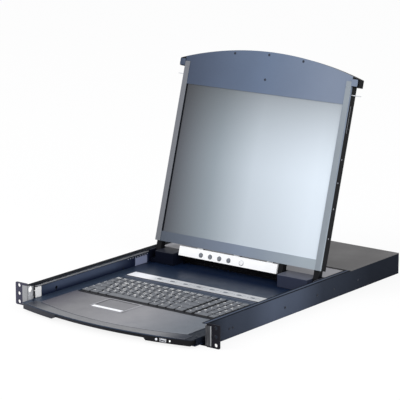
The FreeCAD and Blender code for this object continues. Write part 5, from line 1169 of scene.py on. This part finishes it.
class CONSOLE_OT_display(bpy.types.Operator):
    """Coat the display frame, strips, back and catches, and finish the screen"""
    bl_idname = "console.display"
    bl_label = "Display"

    def execute(self, context):
        colours = context.scene.console_colours
        # Painted sheen: handle and bezel tones that grow lighter from left to right
        handle = [(0.04, srgb(60, 70, 89)), (0.5, srgb(89, 103, 126)), (0.9, srgb(110, 121, 140))]
        bezel = [(0.04, srgb(76, 83, 94)), (0.5, srgb(121, 132, 150)), (0.9, srgb(150, 160, 168))]
        lap, gap = 0.0029, 0.0002
        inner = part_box("lcd_glass")[1].x - lap
        outer = loose_parts("side_strips")[1][0].x + gap
        slate = painted("Frame coat", srgb(90, 104, 127), roughness=0.36, wear=0.15,
                        cast=frame_sheen_cast(handle, bezel, inner, outer))
        coat(["lcd_front_frame"], slate)
        soften(["release_catch_left", "release_catch_right"], 0.0003, slate)
        # Painted sheen that grows from left to right along the side strips, and a painted highlight along
        # their edges
        tones = [(0.0, srgb(104, 106, 112)), (0.5, srgb(115, 121, 129)), (1.0, srgb(128, 136, 144))]
        strip = moulded("Strip moulding", tuple(colours.strips), roughness=0.4, edges=0.3,
                        cast=across_cast(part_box("side_strips")[1].x, tones))
        soften(["side_strips"], 0.0004, strip)
        self.strip_tips(strip)
        back = painted("Display back coat", tuple(colours.back), roughness=0.45, specular=0.08, wear=0.6)
        coat(["lcd_rear_cover"], back)
        soften(["catch_housings"], 0.0005, back)
        # Screen with a painted reflection from its dark left to its pale right
        coat(["lcd_glass"], screen_with_painted_reflection("Screen", srgb(68, 70, 77), srgb(133, 143, 151),
                                           tuple(colours.screen), 0.46))
        coat(["lcd_module"], plated("Module sheet", tuple(colours.zinc), roughness=0.4))
        coat(["latch_wire_left", "latch_wire_right"], plated("Latch wire", tuple(colours.zinc), 0.2,
                                                             (1.0, 1.0, 1.0), metallic=0.2))
        self.side_fittings()
        return {"FINISHED"}

    def strip_tips(self, material):
        """Upper ends of the side strips, which lap over the lower corners of the handle."""
        places = [vertex.co - DISPLAY_ORIGIN for vertex in NODES["side_strips"].data.vertices]
        top = max(place.dot(FACE_UP) for place in places)
        face = max(place.dot(FACE_OUT) for place in places)
        length = 0.0105
        thickness = 0.0012
        lines = []
        for low, high in loose_parts("side_strips"):
            middle = (low.x + high.x) / 2
            width = high.x - low.x
            lines.append([on_display(middle, up, face - thickness) for up in (top, top + length)])
        tips = ribbon("side_strip_tips", lines, width, thickness, FACE_OUT, material)
        finish_piece(tips, "display")

    def side_fittings(self):
        """Small screws along both sides of the rear shell, and a bright line above them."""
        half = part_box("lcd_rear_cover")[1].x
        zinc = plated("Side screw zinc", srgb(150, 154, 162), roughness=0.35, metallic=0.3)
        screw_heights = (0.0625, 0.12, 0.17, 0.215)
        line_ends = (0.265, 0.318)
        screw_depth, line_depth = 0.010, 0.0095
        width, height = 0.0007, 0.0002
        meshes = []
        for side, label in ((-1.0, "side_line_left"), (1.0, "side_line_right")):
            spots = [on_display(side * half, up, -screw_depth) for up in screw_heights]
            values = {"Radius": 0.0014, "Rise": 0.0004, "Sides": 16, "Recess width": 0.0004,
                      "Recess length": 0.0016, "Direction": RIGHT * side, "Material": zinc}
            meshes.append(grow("side_screws", screw_head_tree(), spots, values))
            line = [on_display(side * half, up, -line_depth) for up in line_ends]
            finish_piece(ribbon(label, [line], width, height, RIGHT * side, zinc), "display")
        finish_piece(joined("display_side_screws", meshes, zinc), "display")


class CONSOLE_OT_control_bar(bpy.types.Operator):
    """Finish the white bar under the screen and its buttons"""
    bl_idname = "console.control_bar"
    bl_label = "Control bar"

    def execute(self, context):
        colours = context.scene.console_colours
        white = tuple(colours.bar)
        coat(["control_bar"], moulded("Bar moulding", white, roughness=0.34, grain=0.00001))
        menu = ["menu_button_%d" % number for number in (1, 2, 3, 4)]
        coat(menu, moulded("Menu button moulding", tuple(colours.buttons), roughness=0.3))
        coat(["lcd_power_button"], moulded("Power button moulding", shade(white, 0.93), roughness=0.3))
        menu_radius, power_radius = 0.0046, 0.0052
        # Painted shade: dark rims in the gaps around the menu buttons
        rim = moulded("Button gap shadow", srgb(60, 62, 70), roughness=0.4)
        self.ring_buttons(menu, "menu_button_rims", menu_radius, rim)
        pale_rim = moulded("Power button rim", srgb(176, 180, 188), roughness=0.4)
        self.ring_buttons(["lcd_power_button"], "power_button_rim", power_radius, pale_rim)
        return {"FINISHED"}

    def ring_buttons(self, buttons, label, radius, material):
        """Thin rims around buttons of the bar, a little behind the face of the display."""
        behind = 0.0005
        spots = []
        for button in buttons:
            low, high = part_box(button)
            middle = (low + high) / 2
            spots.append(middle - FACE_OUT * ((middle - DISPLAY_ORIGIN).dot(FACE_OUT) + behind))
        values = {"Radius": radius, "Wire": 0.0004, "Direction": FACE_OUT, "Material": material}
        mesh = grow(label, ring_tree(), spots, values)
        smooth_by_angle(mesh, 60.0)
        finish_piece(piece_from_mesh(label, mesh), "display")


class CONSOLE_OT_screws(bpy.types.Operator):
    """Set cross-recessed screw heads on the chassis, the deck and the display handle"""
    bl_idname = "console.screws"
    bl_label = "Screws"

    def execute(self, context):
        sizes = context.scene.console_screws
        dark = steel("Blackened screw steel", srgb(52, 56, 66))
        tree = screw_head_tree()
        groups = {"chassis_screws": "chassis", "deck_screws": "drawer", "handle_screws": "display"}
        for node, body in groups.items():
            meshes = []
            for low, high in loose_parts(node):
                seat, direction, radius, rise = self.seat_of(node, low, high)
                length = radius * 2.0 * sizes.recess_share
                values = {"Radius": radius, "Rise": rise, "Sides": sizes.sides,
                          "Recess width": sizes.recess_width, "Recess length": length,
                          "Direction": direction, "Material": dark}
                meshes.append(grow(node, tree, [seat], values))
            piece = joined(node + "_heads", meshes, dark)
            smooth_by_angle(piece.data, 32.0)
            finish_piece(piece, body, (node,))
        return {"FINISHED"}

    def seat_of(self, node, low, high):
        """Foot of a screw head, the way it faces, its radius and its rise."""
        middle = (low + high) / 2
        size = high - low
        if node == "handle_screws":
            rise = self.handle_screw_rise()
            return middle - FACE_OUT * rise / 2, FACE_OUT, size.x / 2, rise
        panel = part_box("rear_panel")[1].y
        rear_rise = 0.0009
        if node == "chassis_screws" and middle.y > panel - size.y:
            return Vector((middle.x, high.y - rear_rise, middle.z)), BACK, size.x / 2, rear_rise
        if node == "chassis_screws":
            side = 1.0 if middle.x > 0 else -1.0
            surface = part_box("chassis_pan")[1].x
            outer = max(abs(low.x), abs(high.x))
            return Vector((side * surface, middle.y, middle.z)), RIGHT * side, size.y / 2, outer - surface
        if size.z < size.x and size.z < size.y:
            return Vector((middle.x, middle.y, low.z)), UP, size.x / 2, size.z
        side = -1.0 if middle.x > 0 else 1.0
        outer = max(abs(low.x), abs(high.x))
        return Vector((-side * outer, middle.y, middle.z)), RIGHT * side, size.y / 2, size.x

    def handle_screw_rise(self):
        """How far the handle screws stand off the display's face."""
        least = 0.0003
        low, high = loose_parts("handle_screws")[0]
        across_face = (high - low).dot(UP) - (high.x - low.x) * FACE_UP.z
        return max(least, abs(across_face) / FACE_OUT.z)


class CONSOLE_OT_rear_fittings(bpy.types.Operator):
    """Finish the mains inlet, the switch and the console ports with their pin sockets"""
    bl_idname = "console.rear_fittings"
    bl_label = "Rear fittings"

    def execute(self, context):
        colours = context.scene.console_colours
        black = moulded("Inlet moulding", srgb(22, 22, 25), roughness=0.42)
        coat(["power_inlet", "power_switch"], black)
        coat(["console_ports"], plated("Port shell", tuple(colours.zinc), 0.3, (1.0, 1.0, 1.0)))
        self.pin_sockets(black)
        return {"FINISHED"}

    def pin_sockets(self, material):
        """Rows of small dark sockets on every console port, the middle row half a pitch aside."""
        rows, columns = 3, 5
        pitch_x, pitch_z, radius = 0.0023, 0.0020, 0.0005
        spots = []
        for low, high in loose_parts("console_ports"):
            middle = (low + high) / 2
            for row in range(rows):
                for column in range(columns):
                    slip = pitch_x / 2 if row == 1 else 0.0
                    x = middle.x + (column - (columns - 1) / 2) * pitch_x - slip
                    spots.append((x, high.y, middle.z + (row - (rows - 1) / 2) * pitch_z))
        values = {"Radius": radius, "Thickness": SKIN * 2, "Direction": BACK, "Material": material}
        grow_piece("port_pin_sockets", disc_tree(), spots, values, "chassis")


class CONSOLE_OT_stage(bpy.types.Operator):
    """Set the pale floor, the soft lights and the camera"""
    bl_idname = "console.stage"
    bl_label = "Stage"

    def execute(self, context):
        settings = context.scene.console_stage
        self.floor()
        self.world(context.scene, settings.world_light)
        self.light("Key light", (-1.7, -2.6, 2.6), 2.2, settings.key_light)
        self.light("Fill light", (2.6, -0.6, 1.5), 1.6, settings.fill_light)
        self.camera(context.scene, settings)
        context.scene.view_settings.view_transform = "Standard"
        return {"FINISHED"}

    def floor(self):
        half = 6.0
        gap = 0.0002
        mesh = bpy.data.meshes.new("floor")
        corners = [(-half, -half), (half, -half), (half, half), (-half, half)]
        mesh.from_pydata([(x, y, FLOOR_HEIGHT - gap) for x, y in corners], [], [(0, 1, 2, 3)])
        floor = piece_from_mesh("floor", mesh, self.floor_material())

    def floor_material(self):
        material = bpy.data.materials.new("Pale floor")
        material.use_nodes = True
        tree = material.node_tree
        tree.nodes.clear()
        lit = add(tree, "ShaderNodeBsdfDiffuse", {"Color": (0.86, 0.86, 0.87, 1.0)}).outputs[0]
        plain = add(tree, "ShaderNodeEmission", {"Color": (1.0, 1.0, 1.0, 1.0), "Strength": 1.0}).outputs[0]
        rays = add(tree, "ShaderNodeLightPath")
        seen = arithmetic(tree, "MAXIMUM", rays.outputs["Is Camera Ray"], rays.outputs["Is Glossy Ray"])
        plain_share = 0.86
        share = arithmetic(tree, "MULTIPLY", seen, plain_share)
        mixed = add(tree, "ShaderNodeMixShader", {0: share, 1: lit, 2: plain})
        out = add(tree, "ShaderNodeOutputMaterial")
        tree.links.new(mixed.outputs[0], out.inputs["Surface"])
        return material

    def world(self, scene, strength):
        world = bpy.data.worlds.new("Soft studio")
        world.use_nodes = True
        scene.world = world
        tree = world.node_tree
        tree.nodes.clear()
        rays = add(tree, "ShaderNodeLightPath")
        level = spread(tree, rays.outputs["Is Camera Ray"], 0.0, 1.0, strength, 1.0)
        shell = add(tree, "ShaderNodeBackground", {"Color": (1.0, 1.0, 1.0, 1.0), "Strength": level})
        out = add(tree, "ShaderNodeOutputWorld")
        tree.links.new(shell.outputs[0], out.inputs["Surface"])

    def light(self, name, place, size, power):
        data = bpy.data.lights.new(name, "AREA")
        data.shape = "SQUARE"
        data.size = size
        data.energy = power
        lamp = bpy.data.objects.new(name, data)
        bpy.context.scene.collection.objects.link(lamp)
        target = Vector((0.0, 0.2, 0.1))
        lamp.location = place
        lamp.rotation_euler = (target - Vector(place)).to_track_quat("-Z", "Y").to_euler()

    def camera(self, scene, settings):
        data = bpy.data.cameras.new("Camera")
        data.sensor_width = 36.0
        data.lens = settings.lens
        data.clip_end = 50.0
        camera = bpy.data.objects.new("Camera", data)
        scene.collection.objects.link(camera)
        turn = Matrix.Rotation(settings.camera_turn, 4, "Z") @ Matrix.Rotation(settings.camera_tilt, 4, "X")
        roll = Matrix.Rotation(settings.camera_roll, 4, "Z")
        camera.matrix_world = Matrix.Translation(settings.camera_place) @ turn @ roll
        scene.camera = camera


class CONSOLE_PT_panel(bpy.types.Panel):
    """Sidebar panel with the drawer's pieces and settings"""
    bl_idname = "CONSOLE_PT_panel"
    bl_label = "Console drawer"
    bl_space_type = "VIEW_3D"
    bl_region_type = "UI"
    bl_category = "Console drawer"

    def draw(self, context):
        column = self.layout.column()
        for operator in OPERATORS:
            column.operator(operator.bl_idname)
        for group in SETTINGS:
            for name in SETTINGS[group].__annotations__:
                column.prop(getattr(context.scene, group), name)


SETTINGS = {
    "console_colours": ConsoleColours,
    "console_keys": KeySizes,
    "console_screws": ScrewSizes,
    "console_stage": StageSettings,
}
OPERATORS = [
    CONSOLE_OT_chassis, CONSOLE_OT_slides, CONSOLE_OT_drawer, CONSOLE_OT_front_fittings, CONSOLE_OT_keys,
    CONSOLE_OT_hinges, CONSOLE_OT_display, CONSOLE_OT_control_bar, CONSOLE_OT_screws,
    CONSOLE_OT_rear_fittings, CONSOLE_OT_stage,
]


def register():
    for name, group in SETTINGS.items():
        bpy.utils.register_class(group)
        setattr(bpy.types.Scene, name, PointerProperty(type=group))
    for operator in OPERATORS:
        bpy.utils.register_class(operator)
    bpy.utils.register_class(CONSOLE_PT_panel)


def unregister():
    bpy.utils.unregister_class(CONSOLE_PT_panel)
    for operator in reversed(OPERATORS):
        bpy.utils.unregister_class(operator)
    for name, group in SETTINGS.items():
        delattr(bpy.types.Scene, name)
        bpy.utils.unregister_class(group)


def main():
    register()
    for operator in OPERATORS:
        group, name = operator.bl_idname.split(".")
        getattr(getattr(bpy.ops, group), name)()


if __name__ == "__main__":
    main()
